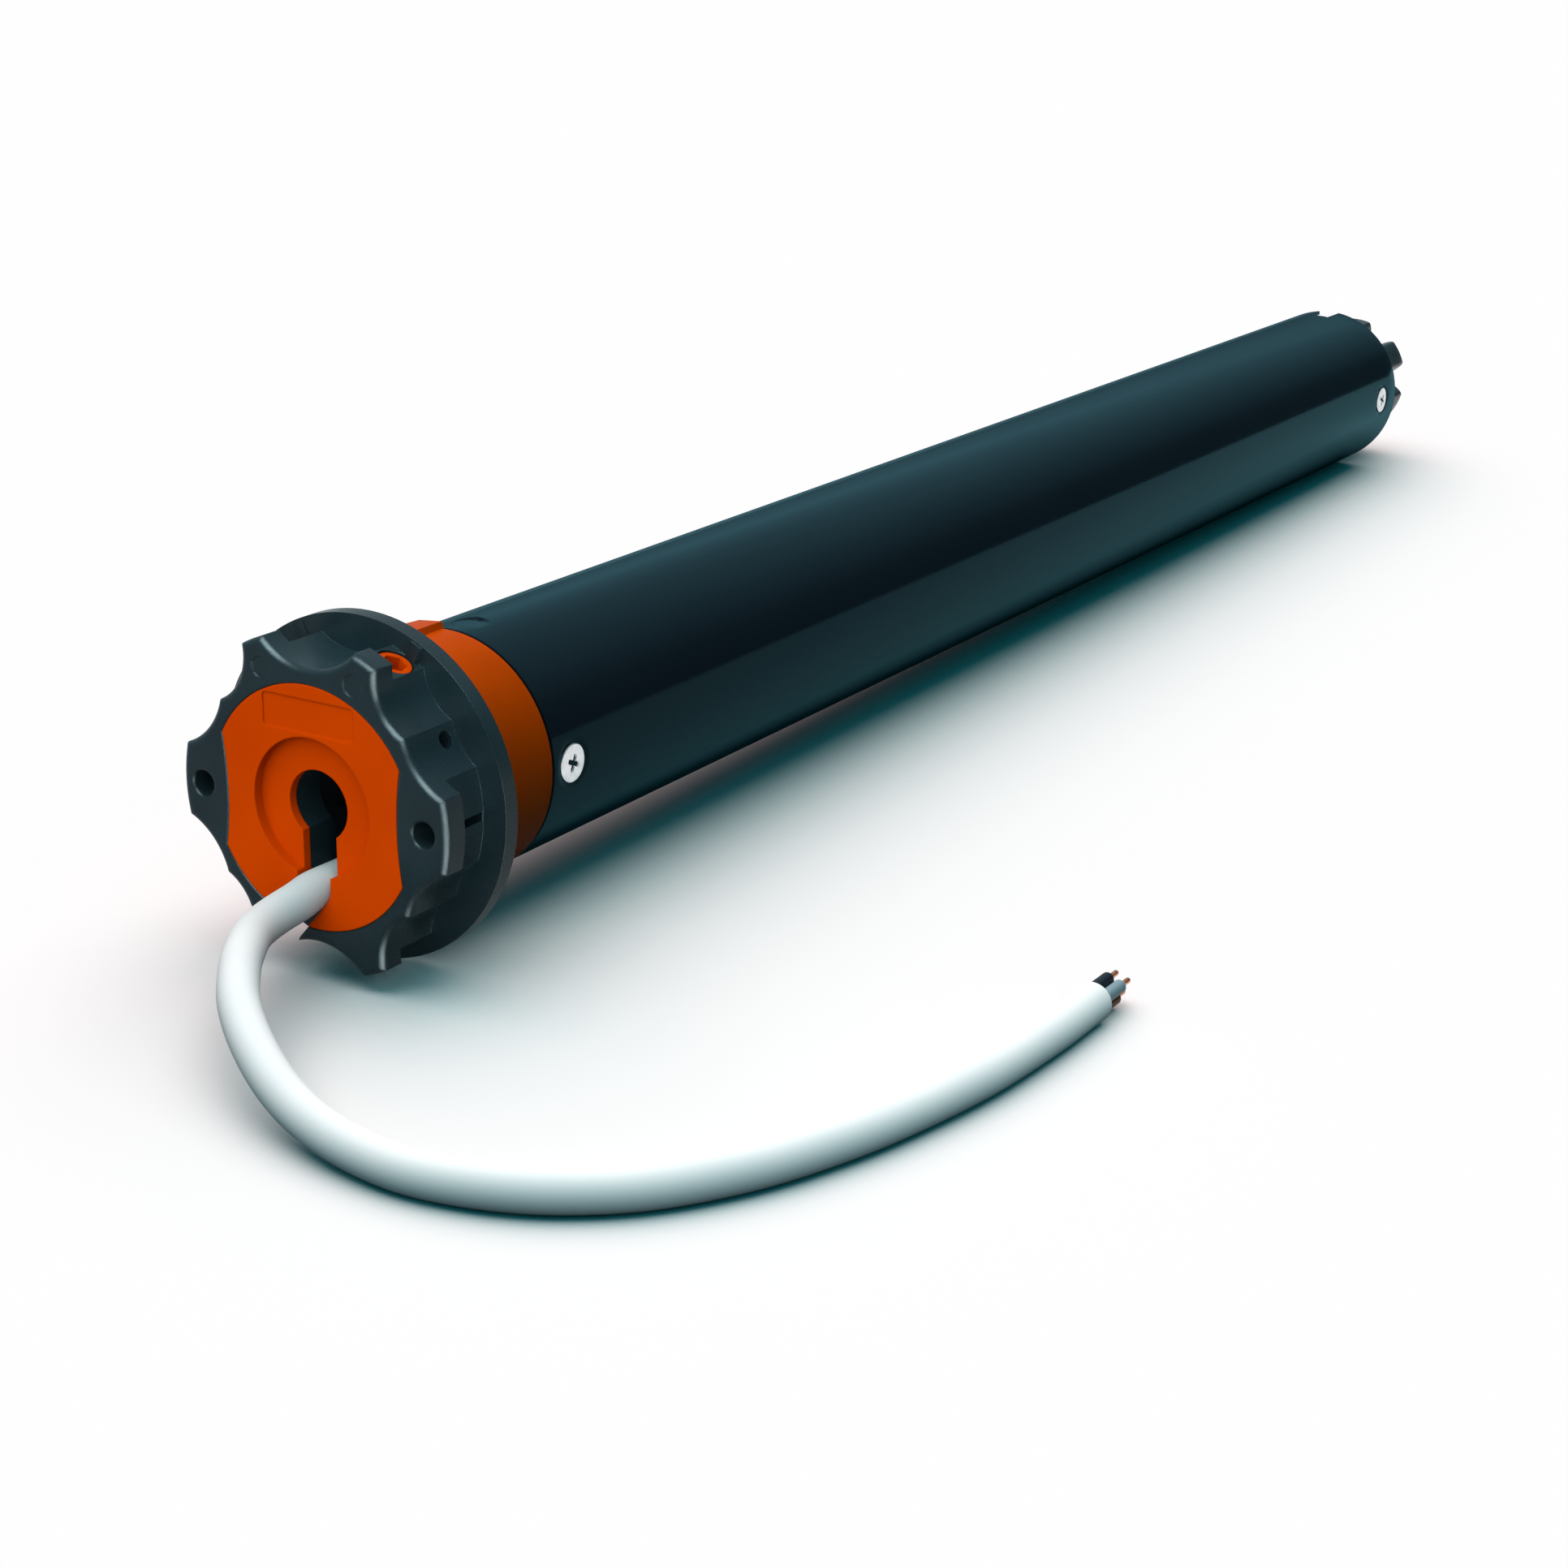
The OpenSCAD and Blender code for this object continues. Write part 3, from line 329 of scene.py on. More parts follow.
def finish(name, light, dark, roughness, grain, depth, metallic=0.0, edge=0.25, drift=14.0, spread=0.1,
           ior=1.5, round_to=1000.0):
    """Colour drifts between light and dark over drift mm, grain is as wide and deep as given in mm.

    The grain varies the roughness by spread either way. Edges are softened over edge mm where x is below
    round_to mm, and over EDGE_BEYOND mm beyond it.
    """
    material, tree = new_tree(name)
    place = add_node(tree, "TexCoord").outputs["Object"]
    broad, fine = [
        add_node(tree, "TexNoise", {"Vector": place, "Scale": per_mm(size), "Detail": detail}).outputs["Fac"]
        for size, detail in ((drift, 3.0), (grain, 2.0))]
    shade = add_node(tree, "MapRange", {"Value": broad, "From Min": 0.35, "From Max": 0.65})
    colour = add_node(tree, "Mix", {
        "Factor": shade.outputs["Result"], "A": linear(light), "B": linear(dark)}, data_type="RGBA")
    gloss = add_node(tree, "MapRange", {
        "Value": fine, "From Min": 0.3, "From Max": 0.7,
        "To Min": roughness - spread, "To Max": roughness + spread})
    along = add_node(tree, "SeparateXYZ", {0: place}).outputs["X"]
    width = add_node(tree, "MapRange", {
        "Value": along, "From Min": round_to * MM, "From Max": (round_to + 0.5) * MM,
        "To Min": edge * MM, "To Max": EDGE_BEYOND * MM}).outputs["Result"]
    soft = add_node(tree, "Bevel", {"Radius": width}, samples=BEVEL_RAYS).outputs["Normal"]
    bump = add_node(tree, "Bump", {"Height": fine, "Distance": depth * MM, "Strength": 1.0, "Normal": soft})
    shader = add_node(tree, "BsdfPrincipled", {
        "Roughness": gloss.outputs["Result"], "Normal": bump.outputs["Normal"],
        "Metallic": metallic, "IOR": ior})
    tree.links.new(colour.outputs[2], shader.inputs["Base Color"])
    add_node(tree, "OutputMaterial", {"Surface": shader.outputs["BSDF"]})
    return material


# %% [markdown]
# ## What each piece is made of
# Each of these lines is one material: how it was made, its two shades, its roughness, and the width and
# depth of its grain in millimetres. Most are named after the slots of the model.

# %% Make the finishes
FINISHES = {
    # glass-filled nylon from a spark-eroded mould: a fine matt grain with brighter rounded front edges
    "black_plastic": finish(
        "nylon_glass_filled_moulded", "23393f", "1d3137", 0.3, 0.25, 0.008, edge=0.8, spread=0.06,
        ior=1.2, round_to=3.0),
    # polyester from a polished mould: satin, saturated, a little darker where it flowed last
    "orange_plastic": finish(
        "polyester_orange_moulded", "c04000", "ba3c00", 0.36, 0.3, 0.003, edge=0.4, drift=20.0,
        ior=1.06),
    # the cover's orange polyester in a lighter copy: painted light, as the crown gets less lamp light than
    # the cover
    "orange_crown_painted_light": finish(
        "polyester_orange_painted_light", "cc4b00", "c24700", 0.36, 0.3, 0.003, edge=0.3, drift=20.0, ior=1.06),
    # soft rubber-like vinyl over the plug, nearly black because no gloss brightens it
    "plug_black": finish("vinyl_plug_moulded", "14191c", "101416", 0.7, 0.4, 0.01, ior=1.1),
    # bright zinc on a cold-headed screw: a soft metal shine with small rolled marks
    "zinc_steel": finish(
        "steel_zinc_plated", "e2e6e8", "cdd2d5", 0.24, 0.25, 0.004, metallic=1.0, drift=1.5, spread=0.04),
    # extruded soft vinyl: smooth and slightly waxy, with a faint grey handling tint
    "white_pvc": finish(
        "vinyl_white_extruded", "fcfefe", "f7fafb", 0.55, 0.9, 0.004, edge=0.1, drift=18.0, ior=1.08),
    # drawn copper wire, clean and a little pink
    "copper": finish(
        "copper_drawn", "d9916c", "b8714e", 0.3, 0.2, 0.004, metallic=1.0, edge=0.03, drift=1.0),
    # epoxy board under green lacquer
    "circuit_board": finish("epoxy_glass_lacquered", "1d5b38", "174a2d", 0.4, 0.5, 0.004),
    "wire_insulation": finish("silicone_wire_extruded", "5c5f68", "51545d", 0.5, 0.5, 0.004),
    # inner mouldings: plain nylon straight from the tool
    "dark_plastic": finish("nylon_dark_moulded", "2c2e32", "24262a", 0.48, 0.4, 0.01),
    # turned and ground steel under a film of oil
    "bright_steel": finish(
        "steel_turned_oiled", "b9bcc0", "a3a6ab", 0.26, 0.3, 0.003, metallic=1.0, drift=4.0),
    # natural acetal gears: creamy, waxy, almost without grain
    "acetal": finish("acetal_natural_moulded", "e4e1d4", "dad6c7", 0.38, 0.5, 0.004),
    # deep-drawn capacitor can
    "can_aluminium": finish(
        "aluminium_drawn", "d5d7da", "c5c7cb", 0.33, 0.4, 0.003, metallic=1.0, drift=6.0),
    # die-cast zinc with its frosty skin
    "cast_zinc": finish("zinc_die_cast", "a2a4a6", "8e9092", 0.5, 0.6, 0.02, metallic=1.0, drift=5.0),
    # pressed friction lining: mineral grains in resin
    "friction_lining": finish("lining_pressed", "4c443a", "38322a", 0.8, 0.7, 0.05, drift=2.0),
    # sintered bronze: porous and matt
    "sintered_bronze": finish(
        "bronze_sintered", "a8865a", "8f6f45", 0.5, 0.35, 0.02, metallic=1.0, drift=2.0),
}
# thin vinyl on the wires, glossier than the sheath
for wire, tint, light, dark, roughness in (
        ("black", "black", "182732", "121e28", 0.32),
        ("grey", "grey", "8ba6b0", "7e9aa5", 0.34),
        ("brown", "brown", "85480c", "743d08", 0.34),
        ("earth", "green", "5f9a2c", "568e26", 0.34)):
    FINISHES[wire + "_insulation"] = finish(
        "vinyl_" + tint + "_extruded", light, dark, roughness, 0.4, 0.004, edge=0.08, ior=1.2)
print("finishes:", len(FINISHES))

# %% [markdown]
# ## Two finishes of their own
# The tube is steel with a dipped blue-black lacquer. Dipped lacquer dries with orange peel, a very
# shallow waviness about 2 mm across. Under it lies a blue-green sheen: the share of light that it
# mirrors grows towards the edges as on any clear coat, but never beyond about a tenth, and it is
# tinted. The motor's iron is a stack of half-millimetre sheets, so its side is striped across the axis.


# %% Lacquered tube and laminated iron
PEEL_WIDTH = 2.2
PEEL_DEPTH = 0.0015
SPECK_WIDTH = 0.6
CLOUD_WIDTH = 30.0
SHEEN_TINT = (0.33, 0.85, 1.0, 1.0)
SHEEN_LIMIT = 0.11


def lacquer(name, light, dark):
    """Three noises: a broad one drifts the colour, orange peel lifts the surface, specks vary the gloss."""
    material, tree = new_tree(name)
    place = add_node(tree, "TexCoord").outputs["Object"]
    broad, peel, speck = [
        add_node(tree, "TexNoise", {"Vector": place, "Scale": per_mm(size), "Detail": detail}).outputs["Fac"]
        for size, detail in ((CLOUD_WIDTH, 2.0), (PEEL_WIDTH, 1.0), (SPECK_WIDTH, 2.0))]
    colour = add_node(tree, "Mix", {
        "Factor": broad, "A": linear(light), "B": linear(dark)}, data_type="RGBA")
    gloss = add_node(tree, "MapRange", {
        "Value": speck, "From Min": 0.4, "From Max": 0.75, "To Min": 0.1, "To Max": 0.18})
    soft = add_node(tree, "Bevel", {"Radius": 0.2 * MM}, samples=BEVEL_RAYS).outputs["Normal"]
    uneven = add_node(tree, "Bump", {
        "Height": peel, "Distance": PEEL_DEPTH * MM, "Strength": 1.0, "Normal": soft}).outputs["Normal"]
    body = add_node(tree, "BsdfDiffuse", {"Color": colour.outputs[2], "Normal": uneven})
    sheen = add_node(tree, "BsdfGlossy", {
        "Color": SHEEN_TINT, "Roughness": gloss.outputs["Result"], "Normal": uneven})
    share = add_node(tree, "Fresnel", {"IOR": 1.15, "Normal": uneven}).outputs["Fac"]
    capped = add_node(tree, "Math", {0: share, 1: SHEEN_LIMIT}, operation="MINIMUM").outputs[0]
    shader = add_node(tree, "MixShader", {0: capped, 1: body.outputs[0], 2: sheen.outputs[0]})
    add_node(tree, "OutputMaterial", {"Surface": shader.outputs[0]})
    return material


def laminations(name, light, dark, sheet):
    """Bands across the axis: a wave along X that turns one radian for each sheet mm.

    The wave node turns 20 radians for each unit of its input, so the scale is divided by 20.
    """
    material, tree = new_tree(name)
    place = add_node(tree, "TexCoord").outputs["Object"]
    bands = add_node(tree, "TexWave", {"Vector": place, "Scale": per_mm(sheet) / 20, "Distortion": 0.3},
                     wave_type="BANDS", bands_direction="X").outputs["Fac"]
    colour = add_node(tree, "Mix", {
        "Factor": bands, "A": linear(light), "B": linear(dark)}, data_type="RGBA")
    bump = add_node(tree, "Bump", {"Height": bands, "Distance": 0.03 * MM, "Strength": 1.0})
    shader = add_node(tree, "BsdfPrincipled", {
        "Roughness": 0.5, "Metallic": 0.8, "Normal": bump.outputs["Normal"]})
    tree.links.new(colour.outputs[2], shader.inputs["Base Color"])
    add_node(tree, "OutputMaterial", {"Surface": shader.outputs["BSDF"]})
    return material


FINISHES["coated_steel"] = lacquer("steel_lacquered_dipped", "1b262e", "172129")
# half-millimetre sheets would be too fine to show, so the stripes are about six millimetres apart
FINISHES["laminated_steel"] = laminations("iron_sheets_stacked", "7b7d80", "55575a", 1.0)
print("finishes with those of the tube and the iron:", len(FINISHES))

# %% [markdown]
# ## The tube
# The tube carries the motor, so it is the longest piece and its outline has to be right. It is one
# closed surface: out along the outside, over a rounded rim, back along the bore. Its points follow the
# angle round the axis and the distance along it. Lines lie close together at the four screws, where
# the wall is pressed in a little, at the two flat round marks beside the crown, and at the notch that
# marks the top of the drive end.

# %% Place the tube's lines
TUBE_R = 22.5
TUBE_WALL = 1.0
TUBE_START = 38.94
TUBE_END = 467.0
NOTCH_W = 6.0
NOTCH_L = 9.0
RIM = 0.22
SCREW_AT = (44.8, 456.1)
SCREW_R = 3.6
DIMPLE = 0.22
DIMPLE_FADE = 1.2
MARK_R = 3.2
MARK_EDGE = 0.3
MARK_FLAT = 22.1


def tube_angles():
    """Degrees round the tube: 3 apart, 0.8 apart within 16 of a screw, and pairs at the notch's sides."""
    wide = np.arange(0, 360, 3.0)
    near = np.concatenate([a + np.arange(-16, 16.1, 0.8) for a in (0, 90, 180, 270)])
    side = math.degrees(math.asin(NOTCH_W / 2 / TUBE_R))
    pair = np.array([90 - side - 0.2, 90 - side, 90 + side, 90 + side + 0.2])
    both = np.unique(np.round(np.concatenate([wide, near, pair]) % 360, 4))
    return both, side


def tube_lines():
    """Millimetres along the axis: 14 apart, and 0.4 apart within 6 of the screws and at the notch."""
    near = np.concatenate([x + np.arange(-5.8, 5.81, 0.4) for x in SCREW_AT])
    wide = np.arange(TUBE_START + 14, TUBE_END - 14, 14.0)
    lines = np.unique(np.round(np.concatenate([wide, near]), 3))
    return lines[(lines > TUBE_START + RIM) & (lines < TUBE_END - RIM)]


angles, notch_side = tube_angles()
lines = tube_lines()
print("tube:", len(angles), "angles and", len(lines), "lines along it")

# %% [markdown]
# ## The tube's surface
# Every point has a distance along the axis and one from it. At a screw the distance from the axis
# shrinks by a smooth step of the way to the screw's middle. At a mark it shrinks to a flat plane.

# %% Make the tube
a = np.radians(angles)[None, :]
quarter = np.linspace(0, np.pi / 2, 5)[:, None]
ends = np.where(np.abs(angles - 90) <= notch_side + 0.01, TUBE_END - NOTCH_L, TUBE_END)[None, :]


def pressed(x, angle):
    """How far the wall is pressed in: DIMPLE round a screw's head, and down to a flat within a mark."""
    deep = np.zeros(np.broadcast(x, angle).shape)
    for quarter_turn in range(4):
        off = np.mod(angle - quarter_turn * np.pi / 2 + np.pi, 2 * np.pi) - np.pi
        if quarter_turn % 2:
            far = np.hypot(x - SCREW_AT[0], off * TUBE_R)
            flat = TUBE_R - MARK_FLAT / np.maximum(np.cos(off), 0.9)
            deep = np.maximum(deep, flat * np.clip((MARK_R - far) / MARK_EDGE + 0.5, 0, 1))
        else:
            for at in SCREW_AT:
                far = np.hypot(x - at, off * TUBE_R)
                deep = np.maximum(deep, DIMPLE * eased((SCREW_R + DIMPLE_FADE - far) / DIMPLE_FADE))
    return deep


outside_x = np.minimum(lines[:, None], ends - RIM)
front_x = TUBE_START + RIM - RIM * np.cos(quarter) + 0 * a
front_r = TUBE_R - RIM + RIM * np.sin(quarter) + 0 * a
back_x = ends - RIM + RIM * np.sin(quarter)
back_r = TUBE_R - RIM + RIM * np.cos(quarter) + 0 * a
inner = TUBE_R - TUBE_WALL
bore_x = np.minimum(lines[::-6, None], ends)
x_rows = np.vstack([front_x, outside_x, back_x, ends, bore_x, TUBE_START + 0 * a])
r_rows = np.vstack([
    front_r, TUBE_R - pressed(outside_x, a), back_r, inner + 0 * a, inner + 0 * bore_x, inner + 0 * a])
rings = np.stack([x_rows, r_rows * np.cos(a), r_rows * np.sin(a)], axis=-1)
faces = grid_faces(*rings.shape[:2], wrap_rows=True)
tube = add_piece("lacquered_tube", rings, faces, "housing", "coated_steel")
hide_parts("motor_tube")
print("tube surface:", rings.shape[0], "rows by", rings.shape[1], "columns")

# %% [markdown]
# ## Screw heads
# Four cross-head screws hold the inner parts to the tube, two at each end. A head is a disc of points,
# ring inside ring, lifted into a low dome. The cross is a dip in that dome, deep where the point lies
# near one of two crossed lines and sloping at its ends. Each disc is then bent up to its place by
# swapping axes: the disc's own height becomes the distance from the tube's axis.

# %% Make the screw heads
DOME = 0.2
CROSS_HALF = 0.32
CROSS_REACH = 1.35
CROSS_DEEP = 1.3
CROSS_TURN = 22.0
CROSS_SIDE = 0.12
CROSS_END = 0.35
SUNK = 0.12


def head_height(u, v):
    """Dome minus cross: the cross is one smooth step across each arm and a longer one along it."""
    far = np.hypot(u, v)
    dome = DOME * (1 - (far / SCREW_R) ** 2)
    turned = math.radians(CROSS_TURN)
    u, v = u * math.cos(turned) + v * math.sin(turned), v * math.cos(turned) - u * math.sin(turned)

    def arm(along, aside):
        wide = eased((CROSS_HALF + CROSS_SIDE - np.abs(aside)) / (2 * CROSS_SIDE))
        return wide * eased((CROSS_REACH + CROSS_END - np.abs(along)) / (2 * CROSS_END))

    return dome - CROSS_DEEP * np.maximum(arm(u, v), arm(v, u))


# rings close together where the cross is cut, and wider apart beyond it
ring_r = np.r_[np.linspace(0.05, 2.6, 22), np.linspace(2.75, 3.35, 4)]
turn = np.linspace(0, 2 * np.pi, 96, endpoint=False)
u, v = ring_r[:, None] * np.cos(turn), ring_r[:, None] * np.sin(turn)
top = np.stack([u, v, head_height(u, v)], axis=-1)
# from the dome's edge round the rim, in under the head and down the shank
edge_r = np.array([3.5, 3.58, 3.6, 1.6, 1.6])[:, None] + 0 * turn
edge_h = np.array([0.0, -0.06, -0.15, -2.1, -5.9])[:, None] + 0 * turn
rim = np.stack([edge_r * np.cos(turn), edge_r * np.sin(turn), edge_h], axis=-1)
disc = np.concatenate([top, rim])
heads = []
for at in SCREW_AT:
    for out in np.array([(0, 1, 0), (0, -1, 0)]):
        aside = np.cross((1, 0, 0), out)
        place = np.array([at, 0, 0]) + (TUBE_R - SUNK) * out
        points = place + disc[..., :1] * (1, 0, 0) + disc[..., 1:2] * aside + disc[..., 2:] * out
        heads.append((points, closed_tube(disc)))
screws = add_piece("tube_screw_heads", *joined(heads), "housing", "zinc_steel")
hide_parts("tube_screws")
print("screws:", len(heads))

# %% [markdown]
# ## The drive wheel
# The wheel at the far end turns the blind's tube through an adapter that fits over its lobes, three wide
# ones and three narrow ones by turns. Its outline is a circle whose radius swells with the angle, and
# the swelling eases in and out, which gives the fillets of the moulding. On the way round the section
# the outline is rounded at both faces, and the far face has a ring groove and a square bore.

# %% Make the drive wheel
WHEEL_START = 468.4
WHEEL_END = 490.0
WHEEL_R = 17.3
WHEEL_CORE_R = 13.0
SQUARE = 10.0
FACE_LINE = 0.7
FRONT_EDGE = 0.5
BACK_EDGE = 0.6
GROOVE_FLOOR = WHEEL_START + 3
GROOVE_OUT = WHEEL_CORE_R - 1.4
GROOVE_IN = 8.6
GROOVE_EDGE = 0.25
MIDDLE_LINES = (474.0, 480.0, 486.0)
# a lobe's middle, then the degrees from there to the end of its tip and to its foot
LOBES = [(90 + 120 * k, 15.4, 27.5) for k in range(3)] + [(30 + 120 * k, 10.9, 22.5) for k in range(3)]


def wheel_radius(degrees):
    """Core radius plus the lobe height times a smooth step from each lobe's foot to its tip."""
    r = np.full(degrees.shape, WHEEL_CORE_R)
    for middle, tip, foot in LOBES:
        off = np.abs(np.mod(degrees - middle + 180, 360) - 180)
        rise = eased((foot - off) / (foot - tip))
        r = np.maximum(r, WHEEL_CORE_R + (WHEEL_R - WHEEL_CORE_R) * rise)
    return r


degrees = np.arange(0, 360, 1.0)
a = np.radians(degrees)
outline = wheel_radius(degrees)
bore = SQUARE / 2 / np.maximum(np.abs(np.cos(a)), np.abs(np.sin(a)))
round_off = np.linspace(0, np.pi / 2, 5)
front_face = WHEEL_START + FRONT_EDGE * (1 - np.cos(round_off))
front_back = FRONT_EDGE * (1 - np.sin(round_off))
end_face = WHEEL_END - BACK_EDGE * (1 - np.sin(round_off))
end_back = BACK_EDGE * (1 - np.cos(round_off))
rows = [(WHEEL_START, bore), (WHEEL_START, outline - FACE_LINE)]
rows += [(x, outline - back) for x, back in zip(front_face, front_back)]
rows += [(x, outline) for x in MIDDLE_LINES]
rows += [(x, outline - back) for x, back in zip(end_face, end_back)]
rows += [(x, r + 0 * a) for x, r in (
    (WHEEL_END, GROOVE_OUT + GROOVE_EDGE), (WHEEL_END - GROOVE_EDGE, GROOVE_OUT), (GROOVE_FLOOR, GROOVE_OUT),
    (GROOVE_FLOOR, GROOVE_IN), (WHEEL_END - GROOVE_EDGE, GROOVE_IN), (WHEEL_END, GROOVE_IN - GROOVE_EDGE))]
rows.append((WHEEL_END, bore))
x_rows = np.array([x for x, _ in rows])[:, None] + 0 * a
r_rows = np.array([r for _, r in rows])
rings = np.stack([x_rows, r_rows * np.cos(a), r_rows * np.sin(a)], axis=-1)
faces = grid_faces(*rings.shape[:2], wrap_rows=True)
wheel = add_piece("lobed_drive_wheel", rings, faces, "output", "black_plastic")
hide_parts("drive_wheel")
print("drive wheel radius:", np.round([outline.min(), outline.max()], 1).tolist(), "mm")

# %% [markdown]
# ## Pieces kept from the model
# The head, the cover, the crown ring and the limit screws have their real form in the model already.
# A model's mesh is loose triangles, so a copy is merged into one skin and its normals are weighted by
# area. Then flat faces stay flat and rounded edges run smoothly into them.


# %% Merge the shown nodes
def merged_copy(node, name, body, slot, crease=30.0):
    """The node's triangles with equal corners joined, in millimetres, as a new smooth piece."""
    mesh = frame["nodes"][node].data
    points = np.empty(len(mesh.vertices) * 3)
    mesh.vertices.foreach_get("co", points)
    corners = np.empty(len(mesh.loops), dtype=int)
    mesh.loops.foreach_get("vertex_index", corners)
    piece = add_piece(name, points.reshape(-1, 3) / MM, corners.reshape(-1, 3), body, slot, smooth=crease)
    weighted = piece.modifiers.new("even shading", "WEIGHTED_NORMAL")
    weighted.keep_sharp = True
    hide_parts(node)
    return piece


head = merged_copy("head_body", "star_head", "housing", "black_plastic")
cover = merged_copy("cover_plate", "keyhole_cover", "housing", "orange_plastic")
crown = merged_copy("crown_ring", "crown_ring_moulded", "crown", "orange_plastic")
limit_a = merged_copy("limit_screw_a", "limit_screw_left", "screw_a", "orange_plastic")
limit_b = merged_copy("limit_screw_b", "limit_screw_right", "screw_b", "orange_plastic")
kept = (head, cover, crown, limit_a, limit_b)
print("corners of the merged copies:", [len(piece.data.vertices) for piece in kept])

# %% [markdown]
# ## Give every piece its finish
# The record names a material slot for each node. New pieces carry the same slot name, so one loop gives
# all of them their finish, the sealed inner parts as well. The crown then gets a lighter copy of the
# orange, which is painted light, and the plug gets a finish of its own.

# %% Assign the finishes
slot_of = {part["node"]: part["material_slot"] for part in frame["record"]["subparts"]}
for name, node in frame["nodes"].items():
    for socket in node.material_slots:
        socket.link = "OBJECT"
        socket.material = FINISHES[slot_of[name]]
made = [o for o in bpy.data.objects if o.type == "MESH" and "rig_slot" in o]
for piece in made:
    piece.data.materials.append(FINISHES[piece["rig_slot"]])
# painted light: the crown takes a lighter copy of the cover's orange
crown.data.materials[0] = FINISHES["orange_crown_painted_light"]
for socket in frame["nodes"]["cable_plug"].material_slots:
    socket.material = FINISHES["plug_black"]
print("finished nodes:", len(slot_of), "new pieces:", len(made))

# %% [markdown]
# ## The table
# The motor lies on a wide white table. The camera sees white paper. Light that comes from the pieces
# meets a nearly black sheet instead, so the table sends little light back up and their undersides stay
# dark. The wheel end's outline sits lower than the flange, so the table follows both with a slight slope.

# %% Make the table
TABLE_SLOPE = 0.01903
TABLE_AT = (16.6, -31.07)
TABLE_REACH = 30000.0
PAPER = "fdfdfd"
DARK_SHEET = (0.04, 0.06, 0.07, 1.0)
corners = TABLE_REACH * np.array([(-1, -1), (1, -1), (1, 1), (-1, 1)])
heights = TABLE_AT[1] + TABLE_SLOPE * (corners[:, :1] - TABLE_AT[0])
table_mesh = bpy.data.meshes.new("table")
table_mesh.from_pydata((np.hstack([corners, heights]) * MM).tolist(), [], [(0, 1, 2, 3)])
table = bpy.data.objects.new("table", table_mesh)
bpy.context.scene.collection.objects.link(table)
material, tree = new_tree("paper_white_matt")
paper = add_node(tree, "BsdfDiffuse", {"Color": linear(PAPER)})
bounce = add_node(tree, "BsdfDiffuse", {"Color": DARK_SHEET})
kind = add_node(tree, "LightPath").outputs["Is Diffuse Ray"]
shader = add_node(tree, "MixShader", {0: kind, 1: paper.outputs[0], 2: bounce.outputs[0]})
add_node(tree, "OutputMaterial", {"Surface": shader.outputs[0]})
table_mesh.materials.append(material)
print("table height at the mounting face:", round(TABLE_AT[1] - TABLE_SLOPE * TABLE_AT[0], 2), "mm")

# %% [markdown]
# ## The lamps
# The main light is one very large soft lamp overhead, made as a sun with a wide angle, so that the whole
# table is lit evenly. A weak red one stands farther back. With the blue-green light of the room they add
# up to white, but in front of the motor they are the first to be hidden, so the shadows there turn
# blue-green. Three soft lamps reach only some pieces: the head end, its orange pieces and the cable. The
# last two are seen only as shine on the head, where they draw the bright lines on its rounded edges. One
# of them stands below the table's level, so the table throws no shadow.

# %% Set the lamps
HEAD_END = (head, cover, limit_a, limit_b, screws, wheel)
LAMPS = [
    # name, red green blue on a surface square to it, width in degrees, way to the lamp, what it lights
    ("soft_overhead", (0.90, 0.78, 0.74), 88.0, (0.22, 0.2, 1.0), ()),
    ("warm_behind", (0.185, 0.0, 0.0), 70.0, (0.55, 0.62, 1.0), ()),
    ("front_soft", (0.47, 0.42, 0.43), 100.0, (-1.0, -0.10, 0.60), HEAD_END),
    ("cover_soft", (0.71, 0.67, 0.68), 100.0, (-1.0, -0.10, 0.60), (cover, limit_a, limit_b)),
    ("cable_soft", (0.17, 0.19, 0.19), 60.0, (-0.62, -0.55, 0.80), (cable,)),
]
SHINES = [
    # the same, but the brightest channel itself is the lamp's strength
    ("gloss_low", (34.0, 44.0, 46.0), 54.0, (-0.49, -0.79, -0.35), (head,)),
    ("gloss_high", (20.0, 26.0, 27.0), 50.0, (-0.52, -0.20, 0.78), (head,)),
]


def add_lamp(name, light, width, way, lit):
    """A sun whose downward axis points away from way; its strength is pi times its brightest channel."""
    data = bpy.data.lights.new(name, "SUN")
    data.angle = math.radians(width)
    data.energy = math.pi * max(light)
    data.color = [c / max(light) for c in light]
    lamp = bpy.data.objects.new(name, data)
    lamp.rotation_euler = Vector(way).to_track_quat("Z", "Y").to_euler()
    bpy.context.scene.collection.objects.link(lamp)
    if lit:
        group = bpy.data.collections.new("lit_by_" + name)
        for piece in lit:
            group.objects.link(piece)
        lamp.light_linking.receiver_collection = group
    return lamp


for row in LAMPS:
    lamp = add_lamp(*row)
    lamp.visible_glossy = False
    if row[-1]:
        lamp.data.cycles.max_bounces = 0
for row in SHINES:
    lamp = add_lamp(*row)
    lamp.data.energy = max(row[1])
    lamp.visible_diffuse = False
table.visible_shadow = False
print("lamps:", len(LAMPS), "lamps seen only as shine:", len(SHINES))

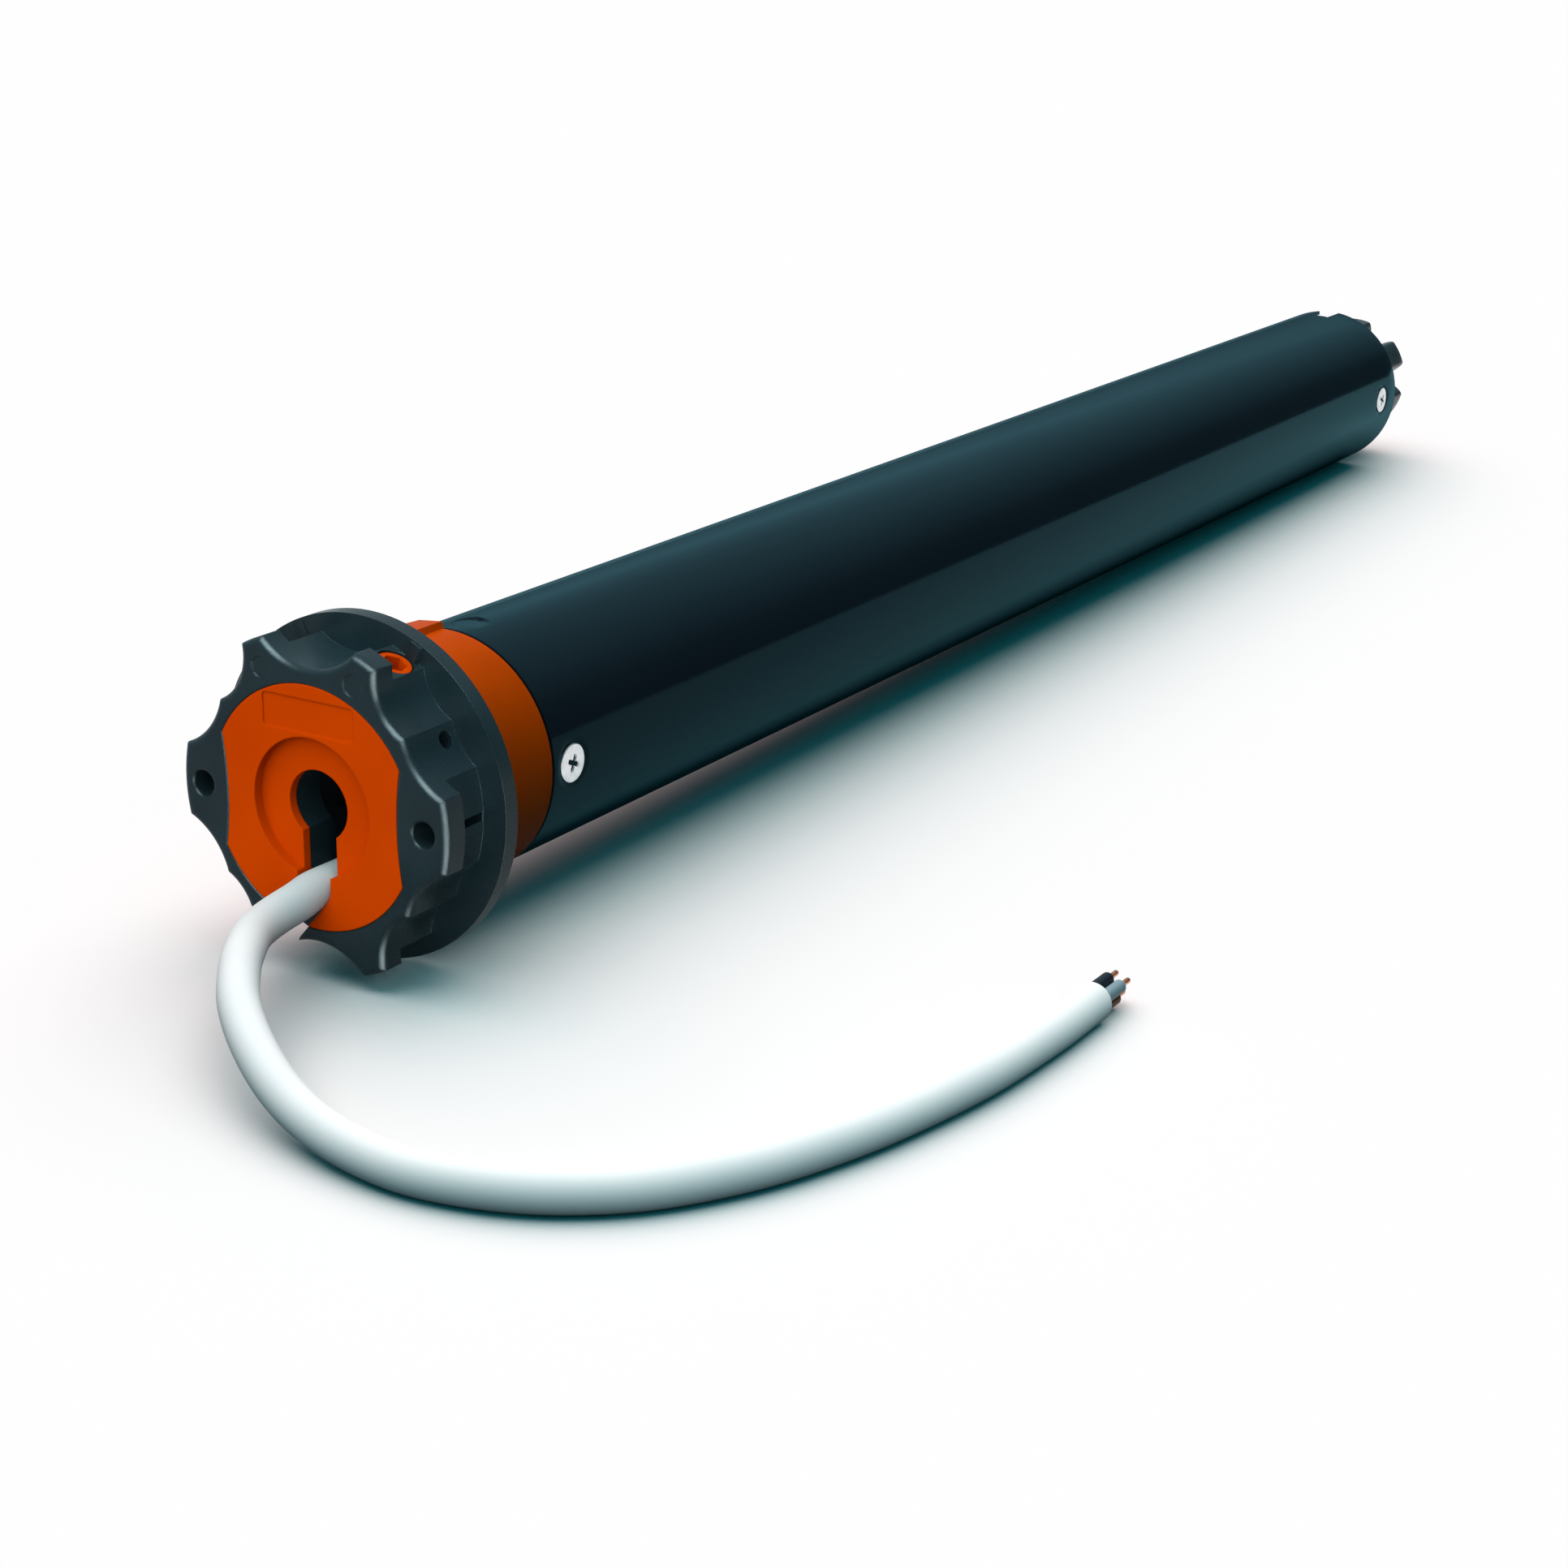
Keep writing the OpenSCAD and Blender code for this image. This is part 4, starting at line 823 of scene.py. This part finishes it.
# %% [markdown]
# ## The room
# Camera and see-through rays meet a white room. Glossy rays meet a bluish one, bright overhead and behind
# and darker towards the floor and the camera's side, as a studio is. The room's diffuse light is
# blue-green. It grows with height and stops at the horizon.

# %% Colour the room
ROOM_LIGHT = (0.01, 0.25, 0.29, 1.0)
ROOM_MIRRORED = (0.82, 0.96, 1.0, 1.0)
ROOM_SEEN = (1.0, 1.0, 1.0, 1.0)
BRIGHT_WAY = (0.0, 0.5, 1.0)
world = bpy.data.worlds.new("studio")
bpy.context.scene.world = world
world.use_nodes = True
tree = world.node_tree
tree.nodes.clear()
path = add_node(tree, "LightPath").outputs
way = add_node(tree, "TexCoord").outputs["Generated"]
upward = add_node(tree, "SeparateXYZ", {0: way}).outputs["Z"]
above = add_node(tree, "Math", {0: upward, 1: 0.0}, operation="GREATER_THAN").outputs[0]
growing = add_node(tree, "MapRange", {
    "Value": upward, "From Min": 0.2, "From Max": 0.85, "To Min": 0.1, "To Max": 1.5})
strength = add_node(tree, "Math", {0: growing.outputs["Result"], 1: above}, operation="MULTIPLY")
facing = add_node(tree, "VectorMath", {0: way, 1: BRIGHT_WAY}, operation="DOT_PRODUCT")
falling = add_node(tree, "MapRange", {
    "Value": facing.outputs["Value"], "From Min": 0.05, "From Max": 0.52, "To Min": 0.07, "To Max": 0.68})
lit = add_node(tree, "Background", {"Color": ROOM_LIGHT, "Strength": strength.outputs[0]})
mirrored = add_node(tree, "Background", {"Color": ROOM_MIRRORED, "Strength": falling.outputs["Result"]})
seen = add_node(tree, "Background", {"Color": ROOM_SEEN, "Strength": 1.0})
inner = add_node(tree, "MixShader", {0: path["Is Glossy Ray"], 1: lit.outputs[0], 2: mirrored.outputs[0]})
through = add_node(tree, "Math", {
    0: path["Is Camera Ray"], 1: path["Is Transmission Ray"]}, operation="MAXIMUM")
outer = add_node(tree, "MixShader", {0: through.outputs[0], 1: inner.outputs[0], 2: seen.outputs[0]})
add_node(tree, "OutputWorld", {"Surface": outer.outputs[0]})
bpy.context.scene.view_settings.view_transform = "Standard"
print("room nodes:", len(tree.nodes))
